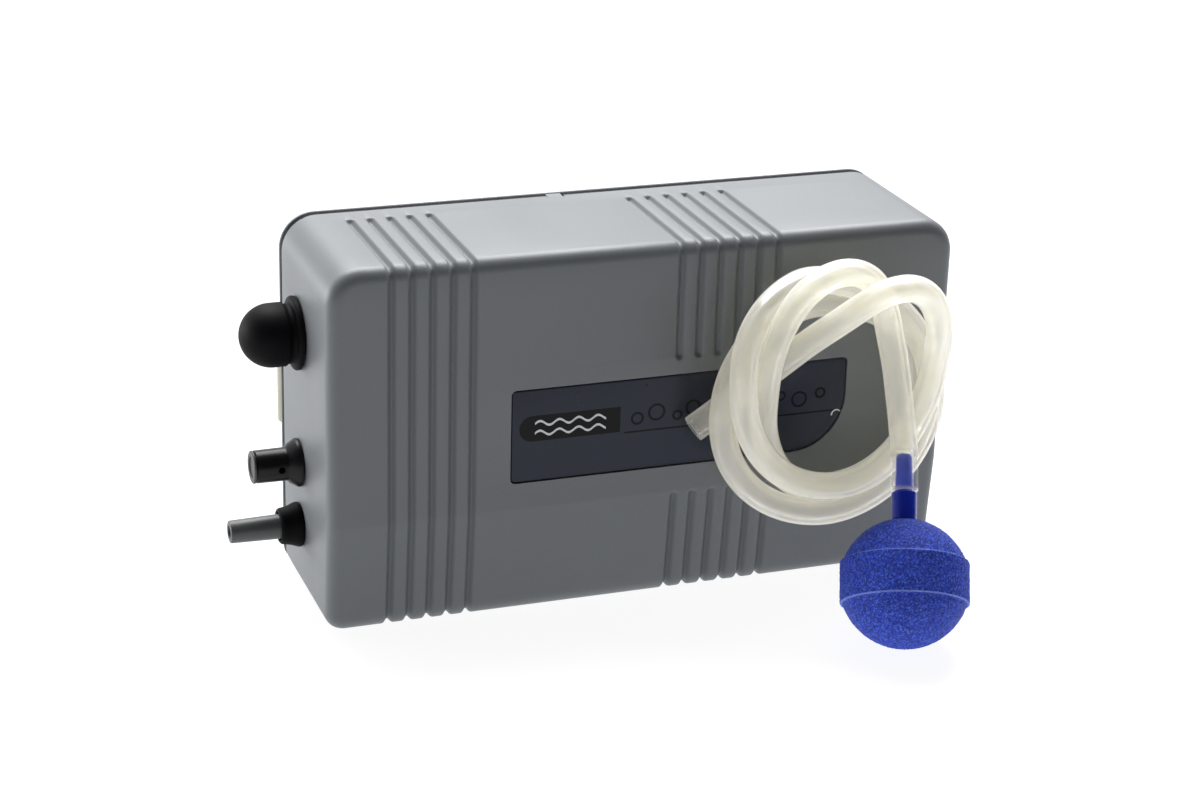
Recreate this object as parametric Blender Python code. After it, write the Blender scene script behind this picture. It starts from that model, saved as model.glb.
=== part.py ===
"""Battery air pump with its airline tube and air stone.

The pump stands on its long lower side.  Every number in the design is in millimetres,
measured on the case: x from its left end (the end with the fittings), y back from its
flat front and z up from the surface that it stands on.  `spot` turns such a place into
the model's frame, in metres: +X along the case away from the fittings, -Y the front, +Z up,
with the origin on the standing surface under the middle of the pump.
"""
import math

import bmesh
import bpy
from mathutils import Vector

MM = 0.001
GAP = 0.3

# Case
CASE_LENGTH = 141.4
CASE_HEIGHT = 82.0
CASE_DEPTH = 42.4
WALL = 2.2
TOP_RADIUS = 7.7
BOTTOM_RADIUS = 4.2
FRONT_FILLET = 3.1
COVER_THICKNESS = 1.5
COVER_EDGE = 0.9
COVER_FRONT = CASE_DEPTH - COVER_THICKNESS
SEAL_THICKNESS = 1.3
SEAL_INSET = 0.15
RIM_Y = COVER_FRONT - SEAL_THICKNESS - 2 * GAP
CATCH_X, CATCH_HALF_WIDTH = 61.9, 2.0
CATCH_FLOOR = CASE_HEIGHT - 0.9
MID_HEIGHT = CASE_HEIGHT / 2

# The lower part of the front slopes back
SLOPE_TOP = 25.3
SLOPE_BACK = 2.4

# Grip grooves, two bands of them
GROOVE_HALF_WIDTH = 1.25
GROOVE_FLOOR_HALF_WIDTH = 0.45
GROOVE_DEPTH = 1.0
GROOVE_PITCH = 4.4
GROOVE_START_Y = 33.0
LEFT_BAND = [13.6 + GROOVE_PITCH * i for i in range(5)]
RIGHT_BAND = [77.3 + GROOVE_PITCH * i for i in range(6)]
LABEL_BREAK = (SLOPE_TOP - GROOVE_HALF_WIDTH, 56.8)

# Label plate
LABEL_LEFT, LABEL_RIGHT = 39.6, 117.1
LABEL_BOTTOM, LABEL_TOP = 31.2, 52.5
LABEL_SMALL_RADIUS = 1.2
LABEL_LARGE_RADIUS = 12.5
LABEL_RECESS = 1.0
LABEL_SINK = 0.25
LABEL_THICKNESS = 0.45

# Fittings on the left end
FITTING_Y = 25.3
SWITCH_Z = 60.6
INTAKE_Z = 30.8
OUTLET_Z = 16.2
NOZZLE_REACH = 15.8
BOOT_REACH = 12.7
INTAKE_REACH = 10.7
SWITCH_HOLE = 5.3
INTAKE_HOLE = 3.7
OUTLET_HOLE = 4.5
SWITCH_TRAVEL = 2.5

# Belt clip on the back
CLIP_REACH = 6.2
CLIP_WIDTH = 17.0
CLIP_THICKNESS = 1.4
CLIP_LENGTH = 56.0

# Cells
CELL_RADIUS = 17.1
CELL_CAN = 59.9
NUB_RADIUS = 4.75
NUB_LENGTH = 1.8
CELL_Y = 22.0
UPPER_CELL_Z = 58.4
LOWER_CELL_Z = 23.8
PARTITION_X = 64.0
PARTITION_THICKNESS = 1.6
CONTACT_X = PARTITION_X + PARTITION_THICKNESS + GAP
CONTACT_THICKNESS = 0.5
BRIDGE_X = 138.2

# Motor, crank and pump head
MOTOR_X, MOTOR_Z = 46.0, 30.0
MOTOR_RADIUS = 12.0
MOTOR_FRONT, MOTOR_BACK = 5.5, 27.0
SHAFT_RADIUS = 1.0
CHASSIS_FRONT, CHASSIS_BACK = 28.8, 30.2
HEAD_Y = 32.0
THROW = 0.9
ECCENTRIC_RADIUS = 3.4
ROD_RING_INNER = ECCENTRIC_RADIUS + 2 * THROW + GAP
ROD_TOP = 51.6
DIAPHRAGM_RIM_Z = 55.7
HEAD_BOTTOM, HEAD_SPLIT, HEAD_TOP = 56.0, 61.0, 68.5
HEAD_LEFT, HEAD_RIGHT = 34.0, 58.0
HEAD_FRONT, HEAD_BACK = 24.8, 39.2
POSTS = [(x, z) for x in (28.6, 60.2) for z in (10.0, 71.0)]

# Air stone and airline
TUBE_RADIUS = 3.0
STONE_RADIUS = 14.0
STONE_CENTRE = Vector((116.3, -36.1, 14.05))
STONE_AXIS = Vector((0.215, 0.577, 0.788)).normalized()
STEM_RADIUS = 2.75
STEM_END = 20.0
COIL_CENTRE = Vector((110.0, -13.4, 47.6))
COIL_HALF_WIDTH = 25.5
COIL_HALF_HEIGHT = 27.0
COIL_RADIAL = 4.6
COIL_HALF_DEPTH = 6.4
LEAD_ROUTE = [(122.5, -17.5, 43.0), (121.9, -16.2, 49.4), (120.9, -15.6, 56.0), (119.6, -14.9, 62.0)]
TAIL_ROUTE = [(107.8, -13.6, 66.0), (102.8, -9.8, 60.6), (97.6, -6.2, 54.6),
              (91.9, -3.9, 49.2), (85.8, -3.4, 44.8), (79.6, -3.4, 40.8)]

CASE_LEFT = (NOZZLE_REACH - CASE_LENGTH) / 2
CASE_FRONT = -(CASE_DEPTH + CLIP_REACH) / 2

AXES = {"X": (Vector((1, 0, 0)), Vector((0, 1, 0)), Vector((0, 0, 1))),
        "Y": (Vector((0, 1, 0)), Vector((0, 0, 1)), Vector((1, 0, 0))),
        "Z": (Vector((0, 0, 1)), Vector((1, 0, 0)), Vector((0, 1, 0)))}


def clear_scene():
    for obj in list(bpy.data.objects):
        bpy.data.objects.remove(obj, do_unlink=True)


def spot(x, y, z):
    """A place on the case, in millimetres, as a point of the model in metres."""
    return Vector((CASE_LEFT + x, CASE_FRONT + y, z)) * MM


def material(name, color, roughness, metallic=0.0, alpha=1.0):
    if name in bpy.data.materials:
        return bpy.data.materials[name]
    mat = bpy.data.materials.new(name)
    mat.use_nodes = True
    shader = mat.node_tree.nodes["Principled BSDF"]
    shader.inputs["Base Color"].default_value = (*color, 1.0)
    shader.inputs["Roughness"].default_value = roughness
    shader.inputs["Metallic"].default_value = metallic
    shader.inputs["Alpha"].default_value = alpha
    return mat


def case_grey():
    return material("case_grey", (0.165, 0.182, 0.195), 0.45)


def black_rubber():
    return material("black_rubber", (0.012, 0.012, 0.014), 0.6)


def black_plastic():
    return material("black_plastic", (0.015, 0.015, 0.017), 0.3)


def light_grey():
    return material("light_grey", (0.085, 0.088, 0.09), 0.45)


def label_navy():
    return material("label_navy", (0.028, 0.034, 0.052), 0.4)


def ivory():
    return material("ivory", (0.72, 0.74, 0.58), 0.4)


def steel():
    return material("steel", (0.55, 0.56, 0.57), 0.3, metallic=1.0)


def brass():
    return material("brass", (0.62, 0.45, 0.2), 0.3, metallic=1.0)


def pump_white():
    return material("pump_white", (0.72, 0.72, 0.68), 0.45)


def magnet_grey():
    return material("magnet_grey", (0.07, 0.07, 0.075), 0.6)


def copper():
    return material("copper", (0.6, 0.27, 0.14), 0.35, metallic=1.0)


def cell_sleeve():
    return material("cell_sleeve", (0.05, 0.16, 0.1), 0.35)


def felt():
    return material("felt", (0.55, 0.55, 0.5), 0.9)


def clear_tube():
    return material("clear_tube", (0.82, 0.8, 0.68), 0.25, alpha=0.7)


def stone_blue():
    return material("stone_blue", (0.01, 0.06, 0.6), 0.85)


def stem_blue():
    return material("stem_blue", (0.004, 0.02, 0.36), 0.3)


def red_wire():
    return material("red_wire", (0.5, 0.02, 0.02), 0.4)


def black_wire():
    return material("black_wire", (0.02, 0.02, 0.02), 0.4)


def blue_wire():
    return material("blue_wire", (0.02, 0.06, 0.4), 0.4)


def link(name, mesh, location, mat, smooth_angle=35.0):
    obj = bpy.data.objects.new(name, mesh)
    bpy.context.scene.collection.objects.link(obj)
    obj.location = location
    if mat is not None:
        mesh.materials.append(mat)
    mesh.shade_smooth()
    mesh.set_sharp_from_angle(angle=math.radians(smooth_angle))
    return obj


def solid(name, verts, faces, location, mat, smooth_angle=35.0):
    """A closed mesh from points in millimetres around the object's own origin."""
    bm = bmesh.new()
    corners = [bm.verts.new(Vector(v) * MM) for v in verts]
    for face in faces:
        bm.faces.new([corners[i] for i in face])
    bmesh.ops.recalc_face_normals(bm, faces=bm.faces[:])
    mesh = bpy.data.meshes.new(name)
    bm.to_mesh(mesh)
    bm.free()
    return link(name, mesh, location, mat, smooth_angle)


def turned(name, profile, axis, location, mat, steps=24, smooth_angle=35.0):
    """A turned solid: the profile is a closed line of (along the axis, radius)."""
    along, side, up = AXES[axis]
    verts, rings = [], []
    for distance, radius in profile:
        if radius == 0:
            rings.append([len(verts)])
            verts.append(along * distance)
            continue
        rings.append(list(range(len(verts), len(verts) + steps)))
        for i in range(steps):
            angle = 2 * math.pi * i / steps
            verts.append(along * distance + (side * math.cos(angle) + up * math.sin(angle)) * radius)
    faces = []
    for one, two in zip(rings, rings[1:] + rings[:1]):
        for i in range(steps):
            j = (i + 1) % steps
            corners = [one[i % len(one)], one[j % len(one)], two[j % len(two)], two[i % len(two)]]
            corners = list(dict.fromkeys(corners))
            if len(corners) > 2:
                faces.append(corners)
    return solid(name, verts, faces, location, mat, smooth_angle)


def rod(name, axis, start, end, radius, location, mat, steps=16):
    profile = [(start, 0), (start, radius), (end, radius), (end, 0)]
    return turned(name, profile, axis, location, mat, steps)


def pipe(name, axis, start, end, inner, outer, location, mat, steps=24):
    profile = [(start, inner), (start, outer), (end, outer), (end, inner)]
    return turned(name, profile, axis, location, mat, steps)


def loft(name, loops, location, mat, ring=False, smooth_angle=35.0):
    """A skin through loops of as many points each, closed by caps or, for a ring, on itself."""
    count = len(loops[0])
    verts = [point for loop in loops for point in loop]
    pairs = list(zip(range(len(loops)), range(1, len(loops))))
    if ring:
        pairs.append((len(loops) - 1, 0))
    faces = []
    for one, two in pairs:
        for i in range(count):
            j = (i + 1) % count
            faces.append([one * count + i, one * count + j, two * count + j, two * count + i])
    if not ring:
        faces.append(list(range(count)))
        faces.append([(len(loops) - 1) * count + i for i in range(count)])
    return solid(name, verts, faces, location, mat, smooth_angle)


def prism(name, outline, axis, start, end, location, mat):
    """An outline drawn across the axis, pulled along it from start to end."""
    along, side, up = AXES[axis]
    loops = [[along * d + side * a + up * b for a, b in outline] for d in (start, end)]
    return loft(name, loops, location, mat)


def block(name, low, high, mat, anchor=None):
    """A box between two corners, in case millimetres, with its origin at the anchor."""
    anchor = Vector(anchor if anchor is not None else low)
    (x0, y0, z0), (x1, y1, z1) = Vector(low) - anchor, Vector(high) - anchor
    return prism(name, [(y0, z0), (y1, z0), (y1, z1), (y0, z1)], "X", x0, x1, spot(*anchor), mat)


def rounded_corners(corners, steps=4):
    """An outline in (x, z) through corners of (x, z, radius) that turn at right angles."""
    points = []
    for i, (x, z, radius) in enumerate(corners):
        before = Vector(corners[i - 1][:2])
        after = Vector(corners[(i + 1) % len(corners)][:2])
        here = Vector((x, z))
        into, out = (before - here).normalized(), (after - here).normalized()
        centre = here + (into + out) * radius
        for k in range(steps + 1):
            turn = math.pi / 2 * k / steps
            points.append(tuple(centre - out * radius * math.cos(turn) - into * radius * math.sin(turn)))
    return points


def as_cutter(obj):
    obj.hide_render = True
    obj.display_type = "WIRE"
    obj.data.materials.clear()
    return obj


def boolean(target, tool, operation):
    modifier = target.modifiers.new(tool.name, "BOOLEAN")
    modifier.operation = operation
    modifier.object = as_cutter(tool)


def cut(target, tool):
    boolean(target, tool, "DIFFERENCE")


def join(target, tool):
    boolean(target, tool, "UNION")


def smooth_route(points, spacing):
    """Points at about even spacing along a Catmull-Rom curve through the given points."""
    knots = [Vector(p) for p in points]
    knots = [2 * knots[0] - knots[1]] + knots + [2 * knots[-1] - knots[-2]]
    route = []
    for a, b, c, d in zip(knots, knots[1:], knots[2:], knots[3:]):
        count = max(1, round((c - b).length / spacing))
        for k in range(count):
            t = k / count
            route.append(0.5 * (2 * b + (c - a) * t + (2 * a - 5 * b + 4 * c - d) * t ** 2
                                + (3 * b - a - 3 * c + d) * t ** 3))
    route.append(knots[-2])
    return route


def tube(name, route, radius, mat, resolution=2):
    """A round tube along a route in case millimetres, with closed ends."""
    origin = Vector(route[0])
    curve = bpy.data.curves.new(name, "CURVE")
    curve.dimensions = "3D"
    curve.bevel_depth = radius * MM
    curve.bevel_resolution = resolution
    curve.use_fill_caps = True
    spline = curve.splines.new("POLY")
    spline.points.add(len(route) - 1)
    for point, place in zip(spline.points, route):
        point.co = (*((Vector(place) - origin) * MM), 1.0)
    curve.materials.append(mat)
    obj = bpy.data.objects.new(name, curve)
    bpy.context.scene.collection.objects.link(obj)
    obj.location = spot(*origin)
    return obj


# ---------------------------------------------------------------- case skin

def slope_back(z):
    """How far the sloping lower front stands back at this height."""
    return max(0.0, SLOPE_TOP - z) * SLOPE_BACK / SLOPE_TOP


def groove_depth(x, y, z):
    """Depth of the grip grooves at a place on the unmarked skin."""
    overshoot = max(0.0, y - GROOVE_START_Y)
    on_front = y < FRONT_FILLET + SLOPE_BACK
    low, high = LABEL_BREAK
    if x > RIGHT_BAND[0] - GROOVE_PITCH and on_front and low < z < high:
        overshoot = min(z - low, high - z)
    nearest = min(abs(x - centre) for centre in LEFT_BAND + RIGHT_BAND)
    reach = math.hypot(nearest, overshoot) / GROOVE_HALF_WIDTH
    if reach >= 1:
        return 0.0
    return GROOVE_DEPTH * (1 + math.cos(math.pi * reach)) / 2


def case_outline(inset, columns, rows, corner_steps):
    """The case seen from the front, as (x, z, outward x, outward z), starting at the top left."""
    top_r, bottom_r = TOP_RADIUS - inset, max(BOTTOM_RADIUS - inset, 0.3)
    left, right = inset, CASE_LENGTH - inset
    bottom, top = inset, CASE_HEIGHT - inset
    side_rows = [z for z in rows if BOTTOM_RADIUS < z < CASE_HEIGHT - TOP_RADIUS]

    def arc(cx, cz, radius, start, first, last):
        for k in range(first, last + 1):
            angle = math.radians(start - 90 * k / corner_steps)
            nx, nz = math.cos(angle), math.sin(angle)
            yield cx + nx * radius, cz + nz * radius, nx, nz

    points = [(x, top, 0.0, 1.0) for x in columns]
    points += arc(right - top_r, top - top_r, top_r, 90, 1, corner_steps)
    points += [(right, z, 1.0, 0.0) for z in sorted(side_rows, reverse=True)]
    points += arc(right - bottom_r, bottom + bottom_r, bottom_r, 0, 0, corner_steps)
    points += [(x, bottom, 0.0, -1.0) for x in reversed(columns)]
    points += arc(left + bottom_r, bottom + bottom_r, bottom_r, 270, 0, corner_steps)
    points += [(left, z, -1.0, 0.0) for z in sorted(side_rows)]
    points += arc(left + top_r, top - top_r, top_r, 180, 0, corner_steps - 1)
    return points


def case_solid(name, inset, back, fillet, columns, rows, wall_stations, corner_steps, grooved, mat):
    """The case's outer or inner shape: a tub with a filleted, partly sloping front."""
    rows = sorted(set(rows) | {CASE_HEIGHT - inset - fillet, CASE_HEIGHT - TOP_RADIUS, BOTTOM_RADIUS,
                               inset + fillet}, reverse=True)
    outline = case_outline(inset, columns, rows, corner_steps)
    front_edge = inset + fillet
    stations = [(y, 0.0, 0.0) for y in [back] + wall_stations + [front_edge]]
    for k in (1, 2, 3):
        turn = math.pi / 2 * k / 3
        stations.append((front_edge - fillet * math.sin(turn), fillet * (1 - math.cos(turn)), turn))

    def carved(x, y, z, nx, nz, turn):
        share = min(1.0, (back - y) / (back - front_edge))
        depth = groove_depth(x, y, z) if grooved else 0.0
        return (x - nx * math.cos(turn) * depth,
                y + slope_back(z) * share + math.sin(turn) * depth,
                z - nz * math.cos(turn) * depth)

    verts, faces = [], []
    count = len(outline)
    for y, shrink, turn in stations:
        for x, z, nx, nz in outline:
            verts.append(carved(x - nx * shrink, y, z - nz * shrink, nx, nz, turn))
    for ring in range(len(stations) - 1):
        for i in range(count):
            j = (i + 1) % count
            faces.append([ring * count + i, ring * count + j, (ring + 1) * count + j, (ring + 1) * count + i])
    faces.append(list(range(count)))

    last = (len(stations) - 1) * count
    many = len(columns)
    side_count = len([z for z in rows if BOTTOM_RADIUS < z < CASE_HEIGHT - TOP_RADIUS])
    right_side = last + many + corner_steps - 1
    bottom_start = right_side + side_count + corner_steps + 2
    left_side = bottom_start + many + corner_steps
    grid = []
    for i, x in enumerate(columns):
        line = [last + i]
        for z in rows[1:-1]:
            line.append(len(verts))
            verts.append(carved(x, inset, z, 0.0, 0.0, math.pi / 2))
        line.append(bottom_start + many - 1 - i)
        grid.append(line)
    for one, two in zip(grid, grid[1:]):
        for j in range(len(rows) - 1):
            faces.append([one[j], one[j + 1], two[j + 1], two[j]])
    for k in range(side_count + 1):
        faces.append([right_side + k, right_side + k + 1, grid[-1][k + 2], grid[-1][k + 1]])
        faces.append([left_side + k, left_side + k + 1, grid[0][-3 - k], grid[0][-2 - k]])
    top_left_arc = [left_side + side_count + 1 + k for k in range(corner_steps)]
    faces.append(top_left_arc + grid[0][:2])
    faces.append([last + many - 1 + k for k in range(corner_steps + 1)] + [grid[-1][1]])
    bottom_right_arc = [right_side + side_count + 1 + k for k in range(corner_steps + 1)]
    faces.append(bottom_right_arc + [grid[-1][-1], grid[-1][-2]])
    bottom_left_arc = [bottom_start + many + k for k in range(corner_steps + 1)]
    faces.append([grid[0][-1]] + bottom_left_arc + [grid[0][-2]])
    return solid(name, verts, faces, spot(0, 0, 0), mat)


def groove_columns():
    offsets = (-GROOVE_HALF_WIDTH, -GROOVE_FLOOR_HALF_WIDTH, GROOVE_FLOOR_HALF_WIDTH, GROOVE_HALF_WIDTH)
    lines = [centre + offset for centre in LEFT_BAND + RIGHT_BAND for offset in offsets]
    return [TOP_RADIUS] + lines + [CASE_LENGTH - TOP_RADIUS]


def label_outline(shrink):
    """The label's outline: its lower right corner is a large curve."""
    left, right = LABEL_LEFT + shrink, LABEL_RIGHT - shrink
    bottom, top = LABEL_BOTTOM + shrink, LABEL_TOP - shrink
    small, large = LABEL_SMALL_RADIUS - shrink, LABEL_LARGE_RADIUS - shrink
    corners = [(left, top, small), (right, top, small), (right, bottom, large), (left, bottom, small)]
    return rounded_corners(corners)


def catch_notch(name):
    """The space for the cover's catch in the middle of the top rear edge."""
    return block(name, (CATCH_X - CATCH_HALF_WIDTH, RIM_Y - 1.0, CATCH_FLOOR),
                 (CATCH_X + CATCH_HALF_WIDTH, COVER_FRONT, CASE_HEIGHT + 1), None)


def make_front_case():
    low, high = LABEL_BREAK
    reach = GROOVE_HALF_WIDTH
    rows = [high, high - reach, SLOPE_TOP, low]
    stations = [GROOVE_START_Y + reach, GROOVE_START_Y]
    case = case_solid("front_case", 0.0, RIM_Y, FRONT_FILLET, groove_columns(), rows, stations, 4, True,
                      case_grey())
    ends = [TOP_RADIUS, CASE_LENGTH - TOP_RADIUS]
    inside = case_solid("case_cavity", WALL, RIM_Y + 5, 1.2, ends, [SLOPE_TOP], [], 4, False, None)
    cut(case, inside)

    for i, (x, z) in enumerate(POSTS):
        root = 1.6 + slope_back(z)
        join(case, rod(f"post_{i + 1}", "Y", root, CHASSIS_FRONT - GAP, 2.8, spot(x, 0, z), None, 12))
        cut(case, rod(f"post_bore_{i + 1}", "Y", 18.0, CHASSIS_FRONT + 1, 1.6, spot(x, 0, z), None, 12))
    for i, x in enumerate((84.0, 118.0)):
        join(case, block(f"floor_rib_{i + 1}", (x, 14.0, 1.2), (x + 2, 30.0, 6.2), None))
        join(case, block(f"front_rib_{i + 1}", (x, 1.6, 28.0), (x + 2, 4.5, 66.0), None))

    recess = [(z, x) for x, z in label_outline(0.0)]
    cut(case, prism("label_recess", recess, "Y", -2.0, LABEL_RECESS, spot(0, 0, 0), None))
    for name, z, radius in (("switch_hole", SWITCH_Z, SWITCH_HOLE), ("intake_hole", INTAKE_Z, INTAKE_HOLE),
                            ("outlet_hole", OUTLET_Z, OUTLET_HOLE)):
        cut(case, rod(name, "X", -3.0, WALL + 2, radius, spot(0, FITTING_Y, z), None, 24))
    cut(case, catch_notch("case_notch"))
    return case


def make_label():
    outline = [(z, x) for x, z in label_outline(GAP)]
    return prism("label_plate", outline, "Y", LABEL_SINK, LABEL_SINK + LABEL_THICKNESS, spot(0, 0, 0),
                 label_navy())


# ---------------------------------------------------------------- rear cover and clip

def outline_loop(inset, y, corner_steps=4):
    ends = [TOP_RADIUS, CASE_LENGTH - TOP_RADIUS]
    sides = [CASE_HEIGHT - TOP_RADIUS, BOTTOM_RADIUS]
    return [(x, y, z) for x, z, _, _ in case_outline(inset, ends, sides, corner_steps)]


def ring_of_case(name, outer, inner, front, back, mat):
    """A band that follows the case's outline between two insets."""
    loops = [outline_loop(outer, front), outline_loop(outer, back), outline_loop(inner, back),
             outline_loop(inner, front)]
    return loft(name, loops, spot(0, 0, 0), mat, ring=True)


def make_rear_cover():
    front = COVER_FRONT
    soft = COVER_EDGE * (1 - math.cos(math.pi / 4))
    loops = [outline_loop(0.0, front), outline_loop(0.0, CASE_DEPTH - COVER_EDGE),
             outline_loop(soft, CASE_DEPTH - soft), outline_loop(COVER_EDGE, CASE_DEPTH)]
    cover = loft("rear_cover", loops, spot(0, 0, 0), case_grey())
    lip_outer = WALL + 1.6
    join(cover, ring_of_case("cover_lip", lip_outer, lip_outer + 0.9, front - 3.3, front + 0.7, None))
    side = CATCH_HALF_WIDTH - GAP
    join(cover, block("cover_catch", (CATCH_X - side, RIM_Y - 1.0 + GAP, CATCH_FLOOR + GAP),
                      (CATCH_X + side, front + 0.4, CASE_HEIGHT - 0.05), None))
    for i, z in enumerate((MID_HEIGHT - 5, MID_HEIGHT + 5)):
        cut(cover, rod(f"clip_screw_hole_{i + 1}", "Y", front - 1, CASE_DEPTH + 1, 1.2, spot(9.6, 0, z),
                       None, 12))
    seal = ring_of_case("cover_seal", SEAL_INSET, lip_outer - GAP, RIM_Y + GAP, front - GAP, black_rubber())
    cut(seal, catch_notch("seal_notch"))
    return [cover, seal]


def make_belt_clip():
    """A strip fixed at the left end, turned back on itself into a springy blade."""
    low, high = MID_HEIGHT - CLIP_WIDTH / 2, MID_HEIGHT + CLIP_WIDTH / 2
    root_x = 3.3
    inner = CASE_DEPTH + GAP
    outer = CASE_DEPTH + CLIP_REACH
    base = block("clip_base", (root_x + 0.15, inner, low), (root_x + 13, inner + CLIP_THICKNESS, high),
                 ivory())

    bend_y = (inner + outer) / 2
    bend_outer = (outer - inner) / 2
    bend_inner = bend_outer - CLIP_THICKNESS
    bend_x = root_x - 0.15
    turns = [math.radians(-90 - 180 * k / 8) for k in range(9)]
    outside = [(bend_x + bend_outer * math.cos(a), bend_y + bend_outer * math.sin(a)) for a in turns]
    inside = [(bend_x + bend_inner * math.cos(a), bend_y + bend_inner * math.sin(a)) for a in turns]
    end = root_x + CLIP_LENGTH
    blade_out = [(end - 16, outer), (end - 6, outer - 2.0), (end, outer - 0.6)]
    blade_in = [(x, y - CLIP_THICKNESS) for x, y in blade_out]
    profile = outside + blade_out + blade_in[::-1] + inside[::-1]
    pivot = (root_x, inner + CLIP_THICKNESS / 2)
    loops = [[(x - pivot[0], y - pivot[1], z) for x, y in profile]
             for z in (-CLIP_WIDTH / 2, CLIP_WIDTH / 2)]
    blade = loft("clip_blade", loops, spot(pivot[0], pivot[1], MID_HEIGHT), ivory())

    screws = []
    for i, z in enumerate((MID_HEIGHT - 5, MID_HEIGHT + 5)):
        cut(base, rod(f"clip_base_hole_{i + 1}", "Y", inner - 1, inner + 3, 1.2, spot(9.6, 0, z), None, 12))
        seat = spot(9.6, inner + CLIP_THICKNESS + GAP, z)
        screws.append(screw(f"clip_screw_{i + 1}", seat, 2.1, 1.1, 0.85, 4.4))
    return [base, blade] + screws


def screw(name, location, head_radius, head_height, shank_radius, length):
    """A pan-head screw that points to the front, with a slot across its head."""
    profile = [(-length, 0), (-length, shank_radius), (0, shank_radius), (0, head_radius),
               (head_height * 0.6, head_radius), (head_height, head_radius * 0.7), (head_height, 0)]
    body = turned(name, profile, "Y", location, steel(), 12)
    slot = [(-0.25, -head_radius * 0.55), (-0.25, head_radius * 0.55), (0.25, head_radius * 0.55),
            (0.25, -head_radius * 0.55)]
    cut(body, prism(name + "_slot", slot, "Y", head_height * 0.5, head_height + 1, location, None))
    return body


# ---------------------------------------------------------------- fittings on the left end

def make_switch():
    centre = spot(0, FITTING_Y, SWITCH_Z)
    dome_x, dome_r, skin = -(BOOT_REACH - 6.9), 6.9, 1.3
    outer = [(dome_x - dome_r * math.sin(a), dome_r * math.cos(a)) for a in
             (math.radians(15 * k) for k in range(1, 7))]
    hollow_r = dome_r - skin
    inner = [(dome_x - hollow_r * math.sin(a), hollow_r * math.cos(a)) for a in
             (math.radians(18 * k) for k in range(5, -1, -1))]
    outer[-1] = (-BOOT_REACH, 0)
    inner[0] = (-BOOT_REACH + skin, 0)
    profile = ([(-GAP, hollow_r), (-GAP, 8.0), (-1.1, 8.0), (-1.6, 7.5), (-2.0, 6.5), (-2.8, 6.5),
                (-3.3, dome_r), (dome_x, dome_r)] + outer + inner)
    boot = turned("switch_boot", profile, "X", centre, black_rubber(), 20)

    half = 6.5
    back = 17.0
    body = block("switch_body", (WALL + GAP, FITTING_Y - half, SWITCH_Z - half),
                 (back, FITTING_Y + half, SWITCH_Z + half), black_plastic())
    join(body, rod("switch_bushing", "X", -2.0, WALL + 2, 5.0, centre, None, 24))
    cut(body, rod("plunger_bore", "X", -3.0, 8.0, 2.7, centre, None, 16))
    for side in (-3.2, 3.2):
        y = FITTING_Y + side
        join(body, block(f"switch_lug_{'a' if side < 0 else 'b'}", (back - 1, y - 1.2, SWITCH_Z - 0.4),
                         (back + 3, y + 1.2, SWITCH_Z + 0.4), None))
    tip = -BOOT_REACH + skin + 0.7
    profile = [(tip, 0), (tip, 1.6), (tip + 0.6, 2.4), (5.0, 2.4), (5.0, 0)]
    plunger = turned("switch_plunger", profile, "X", centre, pump_white(), 16)
    return [boot, body, plunger]


def make_intake():
    centre = spot(0, FITTING_Y, INTAKE_Z)
    reach = INTAKE_REACH - 0.8
    profile = [(-reach, 1.9), (-reach, 3.6), (-3.0, 3.65), (-2.7, 4.2), (-0.9, 5.3), (-GAP, 5.3),
               (-GAP, INTAKE_HOLE - GAP), (WALL + GAP, INTAKE_HOLE - GAP), (WALL + GAP, 4.7),
               (WALL + 1.6, 4.7), (WALL + 1.6, 3.2), (9.0, 3.0), (9.0, 1.9)]
    body = turned("intake_body", profile, "X", centre, black_plastic(), 20)
    cut(body, rod("intake_port", "Y", -6.0, 0.0, 0.75, spot(-4.7, FITTING_Y, INTAKE_Z), None, 10))
    profile = [(-INTAKE_REACH, 0), (-INTAKE_REACH, 3.4), (-INTAKE_REACH + 0.2, 3.6),
               (-reach - GAP, 3.6), (-reach - GAP, 1.6), (-reach + 3.0, 1.6), (-reach + 3.0, 0)]
    cap = turned("intake_cap", profile, "X", centre, light_grey(), 20)
    filter_pad = rod("intake_filter", "X", 1.0, 8.4, 1.5, centre, felt(), 12)
    return [body, cap, filter_pad]


def make_outlet():
    centre = spot(0, FITTING_Y, OUTLET_Z)
    bore = 1.35
    profile = [(-NOZZLE_REACH, bore), (-NOZZLE_REACH, 2.3), (-NOZZLE_REACH + 0.3, 2.5), (5.0, 2.95),
               (5.0, 2.2), (9.0, 2.1), (9.0, bore)]
    nozzle = turned("outlet_nozzle", profile, "X", centre, light_grey(), 20)
    hole = 2.95 + GAP
    profile = [(-4.9, hole), (-4.9, 3.7), (-4.4, 4.0), (-3.4, 4.15), (-1.6, 4.7), (-0.6, 4.95), (-GAP, 4.9),
               (-GAP, OUTLET_HOLE - GAP), (WALL + GAP, OUTLET_HOLE - GAP), (WALL + GAP, 5.5),
               (WALL + 1.6, 5.5), (WALL + 1.6, hole)]
    grommet = turned("outlet_grommet", profile, "X", centre, black_rubber(), 20)
    return [nozzle, grommet]


# ---------------------------------------------------------------- cells and contacts

def make_cell(name, z, can_start, nub_side):
    profile = [(0, 0), (0, 9.0), (0.4, 9.4), (0.4, 14.5), (0, 15.0), (0, 16.6), (0.6, CELL_RADIUS),
               (CELL_CAN - 1.0, CELL_RADIUS), (CELL_CAN, 16.4), (CELL_CAN, NUB_RADIUS + 0.6),
               (CELL_CAN + NUB_LENGTH - 0.3, NUB_RADIUS), (CELL_CAN + NUB_LENGTH, NUB_RADIUS - 0.5),
               (CELL_CAN + NUB_LENGTH, 0)]
    profile = [(nub_side * (d - CELL_CAN / 2), r) for d, r in profile]
    return turned(name, profile, "X", spot(can_start + CELL_CAN / 2, CELL_Y, z), cell_sleeve(), 24)


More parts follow.
